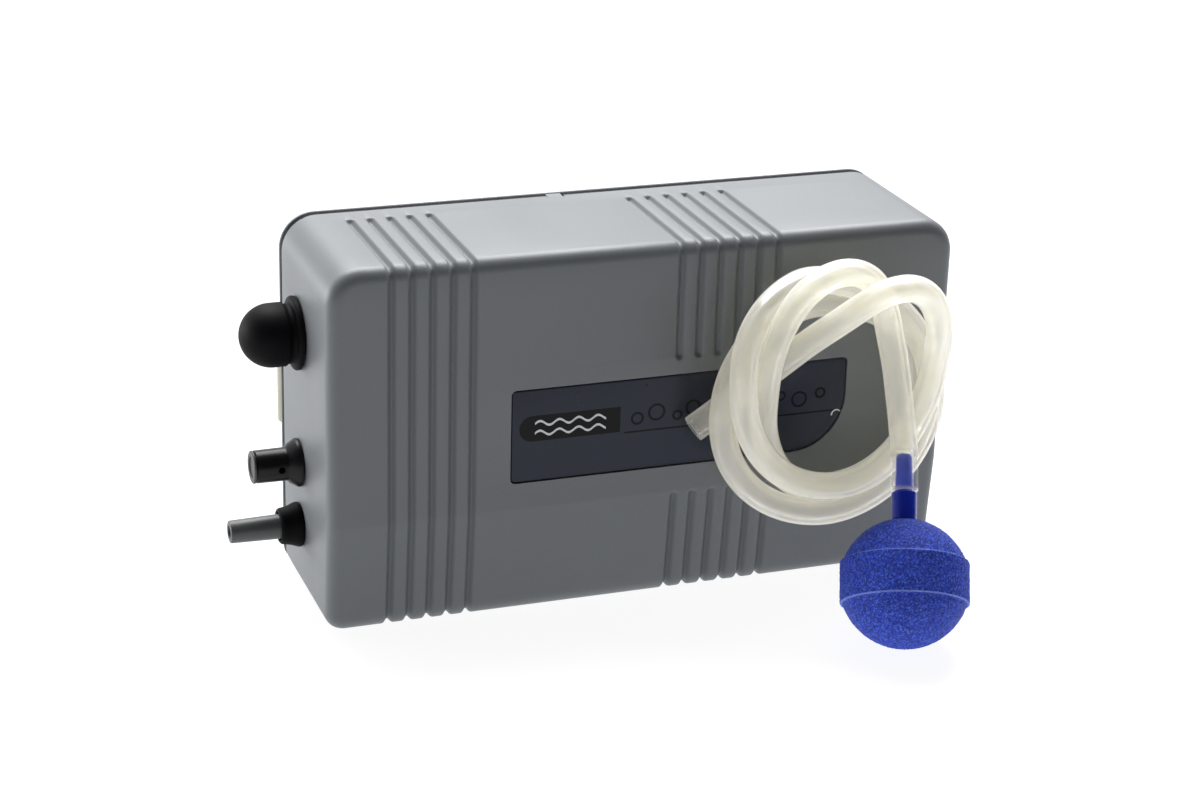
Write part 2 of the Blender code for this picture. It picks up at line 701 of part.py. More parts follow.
def coil_spring(name, start, end, z):
    """A conical contact spring, wide on its plate and narrow on the cell."""
    turns, per_turn, wire = 3.5, 8, 0.55
    span = end - start
    steps = int(turns * per_turn)
    route = []
    for k in range(steps + 1):
        share = k / steps
        angle = 2 * math.pi * turns * share
        radius = 7.0 - 3.0 * share
        along = start + math.copysign(wire, span) + (span - 2 * math.copysign(wire, span)) * share
        route.append((along, CELL_Y + radius * math.cos(angle), z + radius * math.sin(angle)))
    return tube(name, route, wire, steel(), 1)


def make_cells():
    upper_start = CONTACT_X + CONTACT_THICKNESS + GAP + NUB_LENGTH
    lower_start = BRIDGE_X - GAP - NUB_LENGTH - CELL_CAN
    pieces = [make_cell("cell_upper", UPPER_CELL_Z, upper_start, -1),
              make_cell("cell_lower", LOWER_CELL_Z, lower_start, 1)]
    contact_back = CONTACT_X + CONTACT_THICKNESS
    pieces.append(coil_spring("bridge_spring", BRIDGE_X - GAP, upper_start + CELL_CAN + GAP, UPPER_CELL_Z))
    pieces.append(coil_spring("negative_spring", contact_back + GAP, lower_start - GAP, LOWER_CELL_Z))
    pieces.append(block("bridge_plate", (BRIDGE_X, 12.0, 14.0), (BRIDGE_X + CONTACT_THICKNESS, 32.0, 68.0),
                        brass()))
    pieces.append(block("positive_contact", (CONTACT_X, 17.0, 54.0), (contact_back, 38.0, 70.0), brass()))
    pieces.append(block("negative_contact", (CONTACT_X, 14.0, 15.0), (contact_back, 38.0, 31.0), brass()))

    front, back, low, high = 6.2, 37.3, WALL + GAP, CASE_HEIGHT - WALL - GAP
    slot = back - 3.6
    outline = [(front, low), (back, low), (back, 15.0), (slot, 15.0), (slot, 21.0), (back, 21.0),
               (back, 65.0), (slot, 65.0), (slot, 71.0), (back, 71.0), (back, high), (front, high)]
    pieces.append(prism("partition", outline, "X", PARTITION_X, PARTITION_X + PARTITION_THICKNESS,
                        spot(0, 0, 0), case_grey()))
    return pieces


# ---------------------------------------------------------------- motor, crank and pump head

def make_motor():
    axis = spot(MOTOR_X, 0, MOTOR_Z)
    skin = 0.8
    clear = SHAFT_RADIUS + GAP
    can = turned("motor_can", [(MOTOR_FRONT - 1.4, clear), (MOTOR_FRONT - 1.4, 3.2), (MOTOR_FRONT, 3.2),
                               (MOTOR_FRONT, MOTOR_RADIUS - 0.8), (MOTOR_FRONT + 0.8, MOTOR_RADIUS),
                               (MOTOR_BACK, MOTOR_RADIUS), (MOTOR_BACK, MOTOR_RADIUS - skin),
                               (MOTOR_FRONT + skin, MOTOR_RADIUS - skin), (MOTOR_FRONT + skin, clear)],
                 "Y", axis, steel(), 28)
    cap_front, cap_back = MOTOR_BACK + GAP, CHASSIS_FRONT - GAP
    cap = pipe("motor_end_cap", "Y", cap_front, cap_back, clear, MOTOR_RADIUS - 0.2, axis, black_plastic(),
               28)
    for side in (-9.4, 9.4):
        tab = "a" if side < 0 else "b"
        join(cap, block(f"motor_tab_{tab}", (MOTOR_X + side - 0.4, cap_back - 0.5, MOTOR_Z - 1.2),
                        (MOTOR_X + side + 0.4, 31.6, MOTOR_Z + 1.2), None))
    rotor = turned("rotor", [(4.6, 0), (4.6, SHAFT_RADIUS), (9.0, SHAFT_RADIUS), (9.0, 7.4), (22.0, 7.4),
                             (22.0, 2.6), (25.6, 2.6), (25.6, SHAFT_RADIUS), (34.6, SHAFT_RADIUS), (34.6, 0)],
                   "Y", axis, copper(), 20)
    magnets = []
    outer, inner = MOTOR_RADIUS - skin - 0.4, 8.0
    for i, middle in enumerate((0, 180)):
        angles = [math.radians(middle - 60 + 15 * k) for k in range(9)]
        arc = [(outer * math.sin(a), outer * math.cos(a)) for a in angles]
        arc += [(inner * math.sin(a), inner * math.cos(a)) for a in reversed(angles)]
        magnets.append(prism(f"magnet_{i + 1}", arc, "Y", 8.0, 23.0, axis, magnet_grey()))

    eccentric = rod("eccentric", "Y", HEAD_Y - 1.5, HEAD_Y + 1.5, ECCENTRIC_RADIUS, axis, brass(), 24)
    for vertex in eccentric.data.vertices:
        vertex.co.z += THROW * MM
    cut(eccentric, rod("eccentric_bore", "Y", HEAD_Y - 3, HEAD_Y + 3, clear, axis, None, 16))
    return [can, cap, rotor, eccentric] + magnets


def make_rod():
    """The connecting rod: a ring around the eccentric and a stem up to the diaphragm."""
    centre = spot(MOTOR_X, HEAD_Y, MOTOR_Z)
    half = 1.2
    body = pipe("connecting_rod", "Y", -half, half, ROD_RING_INNER, ROD_RING_INNER + 1.7, centre,
                pump_white(), 28)
    foot, top = ROD_RING_INNER + 0.6, ROD_TOP - MOTOR_Z
    stem = [(foot, -2.0), (top - 2, -2.0), (top - 2, 2.0), (foot, 2.0)]
    join(body, prism("rod_stem", stem, "Y", -half * 0.9, half * 0.9, centre, None))
    join(body, rod("rod_pad", "Z", top - 2.6, top, 2.6, centre, None, 20))
    return body


def make_pump_head():
    axis = spot(MOTOR_X, HEAD_Y, 0)
    rim = DIAPHRAGM_RIM_Z
    low = ROD_TOP + GAP
    profile = [(low, 0), (low, 2.8), (rim - 1.0, 5.8), (rim - 1.0, 7.0), (rim, 7.0), (rim, 5.4),
               (low + 1.1, 2.4), (low + 1.1, 0)]
    diaphragm = turned("diaphragm", profile, "Z", axis, black_rubber(), 24)

    port = 2.8
    body = block("valve_body", (HEAD_LEFT, HEAD_FRONT, HEAD_BOTTOM), (HEAD_RIGHT, HEAD_BACK, HEAD_SPLIT),
                 pump_white())
    ear_low, ear_high = HEAD_BOTTOM + 0.4, HEAD_SPLIT - 0.4
    join(body, block("valve_ears", (28.6, CHASSIS_BACK + GAP, ear_low), (62.0, CHASSIS_BACK + 2.3, ear_high),
                     None))
    chamber_top = 58.4
    cut(body, rod("chamber", "Z", HEAD_BOTTOM - 1, chamber_top, 5.2, axis, None, 24))
    for name, side in (("outlet_port", -port), ("inlet_port", port)):
        middle = spot(MOTOR_X + side, HEAD_Y, 0)
        cut(body, rod(name, "Z", chamber_top - 1, HEAD_SPLIT + 1, 1.2, middle, None, 12))
    ears = (31.0, 60.4)
    screws = []
    ear_z = (ear_low + ear_high) / 2
    for i, x in enumerate(ears):
        middle = spot(x, 0, ear_z)
        cut(body, rod(f"ear_hole_{i + 1}", "Y", CHASSIS_BACK, CHASSIS_BACK + 4, 1.2, middle, None, 10))
        screws.append(screw(f"head_screw_{i + 1}", spot(x, CHASSIS_BACK + 2.6, ear_z), 1.9, 1.1, 0.85, 5.0))

    lid = block("head_cover", (HEAD_LEFT, HEAD_FRONT, HEAD_SPLIT + GAP), (HEAD_RIGHT, HEAD_BACK, HEAD_TOP),
                pump_white())
    for name, left, right in (("outlet_room", HEAD_LEFT + 2, MOTOR_X - 0.6),
                              ("inlet_room", MOTOR_X + 0.6, HEAD_RIGHT - 2)):
        low_corner = (left, HEAD_FRONT + 2.2, HEAD_SPLIT - 1)
        cut(lid, block(name, low_corner, (right, HEAD_BACK - 2.2, HEAD_TOP - 2.2), None))
    spigot = spot(0, HEAD_Y + 1.6, 64.6)
    join(lid, rod("head_spigot", "X", 27.6, HEAD_LEFT + 0.5, 2.2, spigot, None, 16))
    cut(lid, rod("spigot_bore", "X", 26.0, HEAD_LEFT + 3, 1.2, spigot, None, 12))
    cut(lid, rod("inlet_bore", "Z", HEAD_TOP - 4, HEAD_TOP + 1, 1.2, spot(52.0, HEAD_Y, 0), None, 12))

    flap = 2.1
    outlet_flap = flap_valve("outlet_flap", MOTOR_X - port, HEAD_SPLIT + 0.75, flap, -1)
    inlet_flap = flap_valve("inlet_flap", MOTOR_X + port, chamber_top - 0.75, flap, 1)
    return [diaphragm, body, lid, outlet_flap, inlet_flap] + screws


def flap_valve(name, x, z, half, side):
    """A thin rubber flap over a port, hinged along its edge away from the pump's middle."""
    edge = side * half
    hinge = spot(x + edge * 0.8, HEAD_Y, z)
    outline = [(-half * 0.7, -0.2), (half * 0.7, -0.2), (half * 0.7, 0.2), (-half * 0.7, 0.2)]
    near, far = sorted((0.0, -edge * 1.6))
    return prism(name, outline, "X", near, far, hinge, black_rubber())


def make_chassis():
    outline = [(25.0, 5.0), (63.4, 5.0), (63.4, 74.0), (58.8, 74.0), (58.8, 47.0), (33.2, 47.0), (33.2, 74.0),
               (25.0, 74.0)]
    outline = [(z, x) for x, z in outline]
    plate = prism("chassis_plate", outline, "Y", CHASSIS_FRONT, CHASSIS_BACK, spot(0, 0, 0), steel())
    holes = [("shaft_hole", MOTOR_X, MOTOR_Z, 3.0)]
    holes += [(f"tab_hole_{i + 1}", MOTOR_X + side, MOTOR_Z, 2.0) for i, side in enumerate((-9.4, 9.4))]
    holes += [(f"post_hole_{i + 1}", x, z, 1.5) for i, (x, z) in enumerate(POSTS)]
    holes += [(f"head_hole_{i + 1}", x, 58.5, 1.2) for i, x in enumerate((31.0, 60.4))]
    for name, x, z, radius in holes:
        cut(plate, rod(name, "Y", CHASSIS_FRONT - 1, CHASSIS_BACK + 1, radius, spot(x, 0, z), None, 12))
    screws = [screw(f"chassis_screw_{i + 1}", spot(x, CHASSIS_BACK + GAP, z), 2.5, 1.4, 1.15, 10.0)
              for i, (x, z) in enumerate(POSTS)]
    return [plate] + screws


def make_hose_and_wires():
    hose = [(27.3, 33.6, 64.6), (25.6, 33.6, 64.6), (23.0, 33.4, 62.6), (21.0, 32.6, 58.0),
            (19.8, 32.0, 49.0), (18.6, 31.4, 39.0), (17.6, 30.2, 29.0), (16.0, 27.8, 20.4),
            (12.6, 25.4, 16.4), (11.2, 25.3, OUTLET_Z), (9.3, 25.3, OUTLET_Z)]
    red = [(65.6, 35.6, 68.0), (64.0, 35.6, 68.0), (61.0, 36.4, 70.0), (52.0, 36.8, 71.4), (38.0, 36.6, 71.8),
           (27.0, 34.6, 71.2), (22.4, 30.6, 69.0), (22.8, 28.6, 64.4), (22.0, 28.5, SWITCH_Z),
           (20.3, 28.5, SWITCH_Z)]
    black = [(65.6, 35.6, 18.0), (64.0, 35.6, 18.0), (61.0, 36.4, 19.0), (57.6, 36.6, 23.0),
             (55.6, 35.6, 28.6), (55.4, 33.6, MOTOR_Z), (55.4, 31.9, MOTOR_Z)]
    blue = [(20.3, 22.1, SWITCH_Z), (22.0, 22.1, SWITCH_Z), (23.0, 22.4, 56.0), (23.6, 25.0, 47.0),
            (23.4, 30.6, 39.4), (25.4, 33.6, 34.0), (31.0, 35.4, 31.0), (35.8, 35.2, 30.2),
            (36.6, 33.6, MOTOR_Z), (36.6, 31.9, MOTOR_Z)]
    return [tube("inner_hose", smooth_route(hose, 4.0), TUBE_RADIUS, clear_tube()),
            tube("wire_red", smooth_route(red, 4.0), 0.6, red_wire(), 1),
            tube("wire_black", smooth_route(black, 3.0), 0.6, black_wire(), 1),
            tube("wire_blue", smooth_route(blue, 4.0), 0.6, blue_wire(), 1)]


# ---------------------------------------------------------------- air stone and airline

def make_air_stone():
    """A ball with a straight belt around it, on a stem that leans back over the pump."""
    tilt = STONE_AXIS.to_track_quat("Z", "Y")
    belt = 4.5
    belt_radius = math.sqrt(STONE_RADIUS ** 2 - belt ** 2)
    angles = [math.asin(belt / STONE_RADIUS) + (math.pi / 2 - math.asin(belt / STONE_RADIUS)) * k / 6
              for k in range(6)]
    rise = [(STONE_RADIUS * math.sin(a), STONE_RADIUS * math.cos(a)) for a in angles]
    profile = [(-STONE_RADIUS, 0)] + [(-d, r) for d, r in reversed(rise)]
    profile += [(-belt, belt_radius + 0.35), (belt, belt_radius + 0.35)] + rise + [(STONE_RADIUS, 0)]
    ball = turned("stone_ball", profile, "Z", spot(*STONE_CENTRE), stone_blue(), 24)
    ball.rotation_euler = tilt.to_euler()

    stem = rod("stone_stem", "Z", STONE_RADIUS + GAP, STEM_END, STEM_RADIUS, spot(*STONE_CENTRE),
               stem_blue(), 20)
    stem.rotation_euler = tilt.to_euler()
    return [ball, stem]


def make_airline():
    start = STONE_CENTRE + STONE_AXIS * (STEM_END + GAP)
    second = STONE_CENTRE + STONE_AXIS * (STEM_END + 6.0)
    lead = tube("airline_lead", smooth_route([start, second] + LEAD_ROUTE, 6.0), TUBE_RADIUS, clear_tube())
    tail = tube("airline_tail", smooth_route(TAIL_ROUTE, 6.0), TUBE_RADIUS, clear_tube())

    section = [(-COIL_RADIAL, -0.6), (-0.6, -1.0), (0.6, -1.0), (COIL_RADIAL, -0.6), (COIL_RADIAL, 0.6),
               (0.6, 1.0), (-0.6, 1.0), (-COIL_RADIAL, 0.6)]
    loops = []
    steps = 28
    for k in range(steps):
        angle = 2 * math.pi * k / steps
        loops.append([((COIL_HALF_WIDTH + out) * math.cos(angle), depth * COIL_HALF_DEPTH,
                       (COIL_HALF_HEIGHT + out) * math.sin(angle)) for out, depth in section])
    coil = loft("airline_coil", loops, spot(*COIL_CENTRE), clear_tube(), ring=True)
    return [lead, tail, coil]


def build():
    clear_scene()
    make_front_case()
    make_label()
    make_rear_cover()
    make_belt_clip()
    make_switch()
    make_intake()
    make_outlet()
    make_cells()
    make_motor()
    make_rod()
    make_pump_head()
    make_chassis()
    make_hose_and_wires()
    make_air_stone()
    make_airline()


build()
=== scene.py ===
from math import cos, hypot, pi, radians, sin, sqrt

import bmesh
import bpy
from mathutils import Matrix, Vector, noise


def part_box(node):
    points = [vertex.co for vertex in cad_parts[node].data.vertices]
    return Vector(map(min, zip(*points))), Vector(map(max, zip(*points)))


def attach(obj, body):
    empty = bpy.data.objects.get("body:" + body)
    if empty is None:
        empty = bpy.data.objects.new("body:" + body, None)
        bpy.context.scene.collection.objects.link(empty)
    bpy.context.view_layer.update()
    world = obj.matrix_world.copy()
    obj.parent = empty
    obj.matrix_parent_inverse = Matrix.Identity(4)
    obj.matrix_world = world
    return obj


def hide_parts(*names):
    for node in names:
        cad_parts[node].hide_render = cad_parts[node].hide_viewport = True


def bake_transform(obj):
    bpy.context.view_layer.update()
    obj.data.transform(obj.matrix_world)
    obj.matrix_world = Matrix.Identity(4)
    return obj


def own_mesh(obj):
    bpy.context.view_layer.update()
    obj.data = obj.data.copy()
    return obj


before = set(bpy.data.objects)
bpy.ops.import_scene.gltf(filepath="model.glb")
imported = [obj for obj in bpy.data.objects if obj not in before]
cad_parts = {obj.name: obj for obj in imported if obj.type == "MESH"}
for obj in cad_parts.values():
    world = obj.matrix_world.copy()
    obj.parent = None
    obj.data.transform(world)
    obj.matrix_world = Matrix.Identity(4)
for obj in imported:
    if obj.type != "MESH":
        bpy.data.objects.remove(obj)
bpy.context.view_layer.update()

MM = 0.001
GAP = 0.3
CASE_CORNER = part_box("front_case")[0]
SLOTS = {}
SHARP_ANGLE = 35.0

# ---------------------------------------------------------------- sizes, in case millimetres

CASE_LENGTH, CASE_HEIGHT, CASE_DEPTH = 141.4, 82.0, 42.4
WALL = 2.2
TOP_RADIUS, BOTTOM_RADIUS = 7.7, 4.2
FRONT_FILLET = 3.1
COVER_THICKNESS = 1.5
COVER_EDGE = 0.9
LIP_INSET, LIP_THICKNESS = WALL + 1.6, 0.9
FRAME_LEFT, FRAME_MARGIN = 66.0, 8.0
FRAME_WIDTH, FRAME_DEPTH, FRAME_RADIUS = 0.8, 0.4, 3.0
COVER_FRONT = CASE_DEPTH - COVER_THICKNESS
SEAL_THICKNESS = 1.3
SEAL_INSET = 0.15
RIM_Y = COVER_FRONT - SEAL_THICKNESS - 2 * GAP
CATCH_X, CATCH_HALF_WIDTH = 61.9, 2.0
CATCH_FLOOR = CASE_HEIGHT - 0.9
MID_HEIGHT = CASE_HEIGHT / 2
SLOPE_TOP, SLOPE_BACK = 25.3, 2.4

GROOVE_HALF_WIDTH = 1.25
GROOVE_DEPTH = 1.0
GROOVE_PITCH = 4.4
GROOVE_START_Y = 33.0
LEFT_BAND = [13.6 + GROOVE_PITCH * i for i in range(5)]
RIGHT_BAND = [77.3 + GROOVE_PITCH * i for i in range(6)]
# Between these heights the right band of grooves makes room for the label
LABEL_BREAK = (SLOPE_TOP - GROOVE_HALF_WIDTH, 56.8)

LABEL_LEFT, LABEL_RIGHT = 39.6, 117.1
LABEL_BOTTOM, LABEL_TOP = 31.2, 52.5
LABEL_SMALL_RADIUS, LABEL_LARGE_RADIUS = 1.2, 12.5
LABEL_RECESS, LABEL_SINK, LABEL_THICKNESS = 1.0, 0.25, 0.45
INK, INK_ROOT, BUBBLE_LINE = 0.03, 0.05, 0.5
# The print: left, right, bottom and top of the pill and the rule; x, z and radius of each bubble
PILL = (41.5, 64.3, 40.5, 46.3)
RULE = (65.3, 114.6, 40.0, 40.35)
BUBBLES = [(68.2, 43.2, 1.5), (72.6, 44.2, 2.0), (77.4, 43.0, 1.2), (81.0, 44.4, 1.8), (106.0, 43.6, 1.9),
           (111.0, 44.6, 1.3), (101.6, 44.8, 1.2)]

FITTING_Y = 25.3
SWITCH_Z, INTAKE_Z, OUTLET_Z = 60.6, 30.8, 16.2
NOZZLE_REACH, BOOT_REACH, INTAKE_REACH = 15.8, 12.7, 10.7
SWITCH_HOLE, INTAKE_HOLE, OUTLET_HOLE = 5.3, 3.7, 4.5

CHASSIS_FRONT = 28.8
CELL_RADIUS, CELL_CAN, CELL_Y = 17.1, 59.9, 22.0
NUB_RADIUS, NUB_LENGTH = 4.75, 1.8
UPPER_CELL_Z, LOWER_CELL_Z = 58.4, 23.8
CONTACT_BACK = 64.0 + 1.6 + GAP + 0.5
BRIDGE_X = 138.2
MOTOR_X, MOTOR_Z, MOTOR_RADIUS = 46.0, 30.0, 12.0
MOTOR_FRONT, MOTOR_BACK = 5.5, 27.0
SHAFT_RADIUS = 1.0
HEAD_Y, ROD_TOP, DIAPHRAGM_RIM_Z = 32.0, 51.6, 55.7
POSTS = [(x, z) for x in (28.6, 60.2) for z in (10.0, 71.0)]
POST_RADIUS, POST_BORE = 2.8, 1.6
RIBS, RIB_THICKNESS = (84.0, 118.0), 2.0
CLIP_REACH, CLIP_WIDTH, CLIP_THICKNESS, CLIP_LENGTH = 6.2, 17.0, 1.4, 56.0

TUBE_RADIUS, TUBE_BORE = 3.0, 2.0
STONE_RADIUS = 14.0
STONE_CENTRE = Vector((116.3, -36.1, 14.05))
STONE_AXIS = Vector((0.215, 0.577, 0.788)).normalized()
STONE_BELT = 4.5
STEM_RADIUS, STEM_END, BARB_LENGTH = 2.75, 20.0, 9.0

# The hose: up from the stone, round the coil, and out to the left over the label
LEAD_ROUTE = [(122.5, -19.5, 37.0), (122.5, -17.5, 43.0), (121.9, -16.2, 49.4), (120.9, -15.6, 56.0),
              (119.6, -14.9, 62.0), (118.4, -13.8, 68.0), (116.4, -13.2, 73.2), (113.0, -13.6, 76.2)]
TAIL_ROUTE = [(115.9, -19.4, 74.0), (112.2, -17.6, 71.2), (107.8, -13.6, 66.0), (102.8, -9.8, 60.6),
              (97.6, -6.2, 54.6), (91.9, -3.9, 49.2), (85.8, -3.4, 44.8), (79.6, -3.4, 40.8)]
# Each round of the coil by its top, left, bottom and right; the last round ends at its top
ROUNDS = [((109.0, -14.0, 77.4), (91.6, -13.6, 51.0), (113.0, -3.4, 23.5), (134.5, -3.4, 46.0)),
          ((107.0, -3.4, 67.0), (84.0, -9.4, 44.0), (108.5, -11.2, 21.3), (133.0, -10.0, 46.0)),
          ((104.0, -6.0, 73.4), (85.6, -15.8, 55.0), (110.5, -13.0, 28.0), (130.3, -16.6, 61.0))]
COIL_END = (119.5, -20.0, 74.8)
QUARTER_STEPS = 6

AXES = {"X": (Vector((1, 0, 0)), Vector((0, 1, 0)), Vector((0, 0, 1))),
        "Y": (Vector((0, 1, 0)), Vector((0, 0, 1)), Vector((1, 0, 0))),
        "Z": (Vector((0, 0, 1)), Vector((1, 0, 0)), Vector((0, 1, 0)))}


def spot(x, y, z):
    """A place on the case, in millimetres, as a point of the frame in metres."""
    return CASE_CORNER + Vector((x, y, z)) * MM


# ---------------------------------------------------------------- shader nodes

def set_inputs(node, values):
    """Give each input its number or colour, or join it to another node's output."""
    for key, value in values.items():
        if isinstance(value, bpy.types.NodeSocket):
            node.id_data.links.new(value, node.inputs[key])
        else:
            node.inputs[key].default_value = value


def add_node(nodes, kind, inputs, output=0, **settings):
    """Add a shader node with its settings and inputs; give back one of its outputs."""
    node = nodes.new("ShaderNode" + kind)
    for key, value in settings.items():
        setattr(node, key, value)
    set_inputs(node, inputs)
    return node.outputs[output]


def remap(nodes, value, low, high, to_low=0.0, to_high=1.0):
    """Take values from low to high onto values from to_low to to_high."""
    return add_node(nodes, "MapRange", {"Value": value, "From Min": low, "From Max": high,
                                        "To Min": to_low, "To Max": to_high})


def ramp(nodes, value, stops):
    """Colour a value by stops of (position, colour), in rising order of position."""
    color = add_node(nodes, "ValToRGB", {"Fac": value})
    elements = color.node.color_ramp.elements
    elements[0].position = stops[0][0]
    elements[1].position = stops[-1][0]
    for position, _ in stops[1:-1]:
        elements.new(position)
    for element, (_, shade) in zip(elements, stops):
        element.color = (*shade, 1)
    return color


def mix(nodes, share, one, two, blend_type="MIX"):
    """Blend two colours by a share; a Mix node's colours are its inputs 6 and 7 and its output 2."""
    return add_node(nodes, "Mix", {"Factor": share, 6: one, 7: two}, 2,
                    data_type="RGBA", blend_type=blend_type)


def calculate(nodes, operation, *values):
    return add_node(nodes, "Math", dict(enumerate(values)), operation=operation)


# ---------------------------------------------------------------- camera, floor and light

def add_camera():
    """The photograph's camera: its direction, its roll, its place in metres and its lens."""
    azimuth, elevation, roll = radians(-20.453), radians(21.486), radians(1.712)
    back = Vector((sin(azimuth) * cos(elevation), -cos(azimuth) * cos(elevation),
                   sin(elevation)))
    right = Vector((0, 0, 1)).cross(back).normalized()
    up = back.cross(right)
    across = right * cos(roll) + up * sin(roll)
    upward = up * cos(roll) - right * sin(roll)
    data = bpy.data.cameras.new("camera")
    data.lens = 81.3
    data.sensor_width = 36.0
    data.clip_start = 0.01
    camera = bpy.data.objects.new("camera", data)
    camera.matrix_world = Matrix.Translation((-0.1909, -0.5271, 0.2597)) @ Matrix(
        (across, upward, back)).transposed().to_4x4()
    bpy.context.scene.collection.objects.link(camera)
    bpy.context.scene.camera = camera


def add_floor():
    """A wide pale floor just under the part, bright enough to read as the photograph's white."""
    bm = bmesh.new()
    bmesh.ops.create_grid(bm, x_segments=8, y_segments=8, size=4.0)
    mesh = bpy.data.meshes.new("floor")
    bm.to_mesh(mesh)
    bm.free()
    floor = bpy.data.objects.new("floor", mesh)
    floor.location.z = -0.0002
    bpy.context.scene.collection.objects.link(floor)
    mat = bpy.data.materials.new("floor")
    mat.use_nodes = True
    set_inputs(mat.node_tree.nodes["Principled BSDF"],
               {"Base Color": (0.20, 0.20, 0.203, 1), "Roughness": 0.9, "Specular IOR Level": 0.1,
                "Emission Color": (1, 1, 1, 1), "Emission Strength": 0.92})
    mesh.materials.append(mat)


def add_softbox(name, place, target, width, height, power):
    """A soft rectangular light at a place in metres, facing a target."""
    data = bpy.data.lights.new(name, "AREA")
    data.shape = "RECTANGLE"
    data.size, data.size_y = width, height
    data.energy = power
    light = bpy.data.objects.new(name, data)
    light.location = place
    light.rotation_euler = (Vector(target) - Vector(place)).to_track_quat("-Z", "Y").to_euler()
    bpy.context.scene.collection.objects.link(light)


def add_light():
    """A studio that is dark in front and bright behind, with a softbox above and one at the left."""
    world = bpy.data.worlds.new("studio")
    bpy.context.scene.world = world
    world.use_nodes = True
    nodes = world.node_tree.nodes
    direction = add_node(nodes, "TexCoord", {}, "Generated")
    depth = add_node(nodes, "SeparateXYZ", {0: direction}, "Y")
    levels = ((0.44, 0.05), (0.53, 0.16), (0.62, 0.75), (0.76, 1.0))
    stops = [(position, (level, level, level * 1.02)) for position, level in levels]
    backdrop = ramp(nodes, remap(nodes, depth, -1.0, 1.0),
                    [(0.0, (0.05, 0.052, 0.055))] + stops + [(1.0, (1.0, 1.0, 1.0))])
    set_inputs(nodes["Background"], {"Color": backdrop})
    add_softbox("top_softbox", (0.12, 0.46, 0.80), (0, 0, 0.03), 0.9, 0.6, 18.0)
    add_softbox("left_softbox", (-0.75, 0.45, 0.10), (0, 0, 0.02), 0.7, 0.18, 4.5)
    bpy.context.scene.view_settings.view_transform = "Standard"


# ---------------------------------------------------------------- materials

def surface(name, color, roughness, spread=0.06, metallic=0.0, grain=2600.0, depth=0.012, blotch=0.08,
            blotch_size=45.0, wear_and_edge_highlight=0.0, wear_and_highlight_color=(0.6, 0.6, 0.6), stretch=(1, 1, 1), coat=0.0,
            specular=0.5):
    """A finish with grain, uneven colour and roughness, and edges lightened partly as wear and partly as a
    painted highlight; depth is the grain's, in mm.
    """
    mat = bpy.data.materials.new(name)
    mat.use_nodes = True
    nodes = mat.node_tree.nodes
    shader = nodes["Principled BSDF"]
    set_inputs(shader, {"Base Color": (*color, 1.0), "Roughness": roughness, "Metallic": metallic,
                        "Specular IOR Level": specular, "Coat Weight": coat, "Coat Roughness": 0.12})
    coord = add_node(nodes, "TexCoord", {}, "Object")
    where = add_node(nodes, "Mapping", {"Vector": coord, "Scale": stretch})
    fine = add_node(nodes, "TexNoise", {"Vector": where, "Scale": grain, "Detail": 4.0}, "Fac")
    broad = add_node(nodes, "TexNoise", {"Vector": where, "Scale": blotch_size, "Detail": 5.0,
                                         "Roughness": 0.6}, "Fac")
    tone = ramp(nodes, broad, [(0.3, [c * (1 - blotch) for c in color]),
                               (0.7, [min(1.0, c * (1 + blotch)) for c in color])])
    result = mix(nodes, min(1.0, blotch * 2), tone, fine, "OVERLAY")
    # Convex edges and groove ridges are lightened: partly rubbed wear, partly a painted edge highlight
    if wear_and_edge_highlight > 0:
        edges = add_node(nodes, "NewGeometry", {}, "Pointiness")
        rubbed_and_highlit = calculate(nodes, "MULTIPLY", remap(nodes, edges, 0.52, 0.62, to_high=wear_and_edge_highlight), broad)
        result = mix(nodes, rubbed_and_highlit, result, (*wear_and_highlight_color, 1))
    gloss = remap(nodes, broad, 0.3, 0.7, max(0.02, roughness - spread), min(1.0, roughness + spread))
    bump = add_node(nodes, "Bump", {"Height": fine, "Distance": depth * MM, "Strength": 1.0})
    set_inputs(shader, {"Base Color": result, "Roughness": gloss, "Normal": bump})
    SLOTS[name] = mat
    return nodes


def hose_surface():
    """Milky soft plastic with a faint painted glow: clearest where it is seen face on and where it is
    stretched over the barb.
    """
    nodes = surface("clear_tube", (0.985, 0.965, 0.86), 0.16, grain=420.0, depth=0.03,
                    blotch=0.012, blotch_size=60.0, specular=0.6)
    facing = add_node(nodes, "LayerWeight", {"Blend": 0.5}, "Facing")
    cover = remap(nodes, facing, 0.2, 0.7, 0.36, 1.0)
    thin = add_node(nodes, "Attribute", {}, "Fac", attribute_name="thin")
    set_inputs(nodes["Principled BSDF"],
               {"Transmission Weight": 0.45, "IOR": 1.42, "Subsurface Weight": 1.0,
                "Subsurface Radius": (1.0, 0.95, 0.7), "Subsurface Scale": 0.006,
                "Coat Weight": 0.5, "Coat Roughness": 0.06,
                # The cream emission is a painted glow standing in for light scattered through the milky
                # plastic
                "Emission Color": (1.0, 0.95, 0.78, 1), "Emission Strength": 0.11,
                "Alpha": calculate(nodes, "MULTIPLY", cover, thin)})


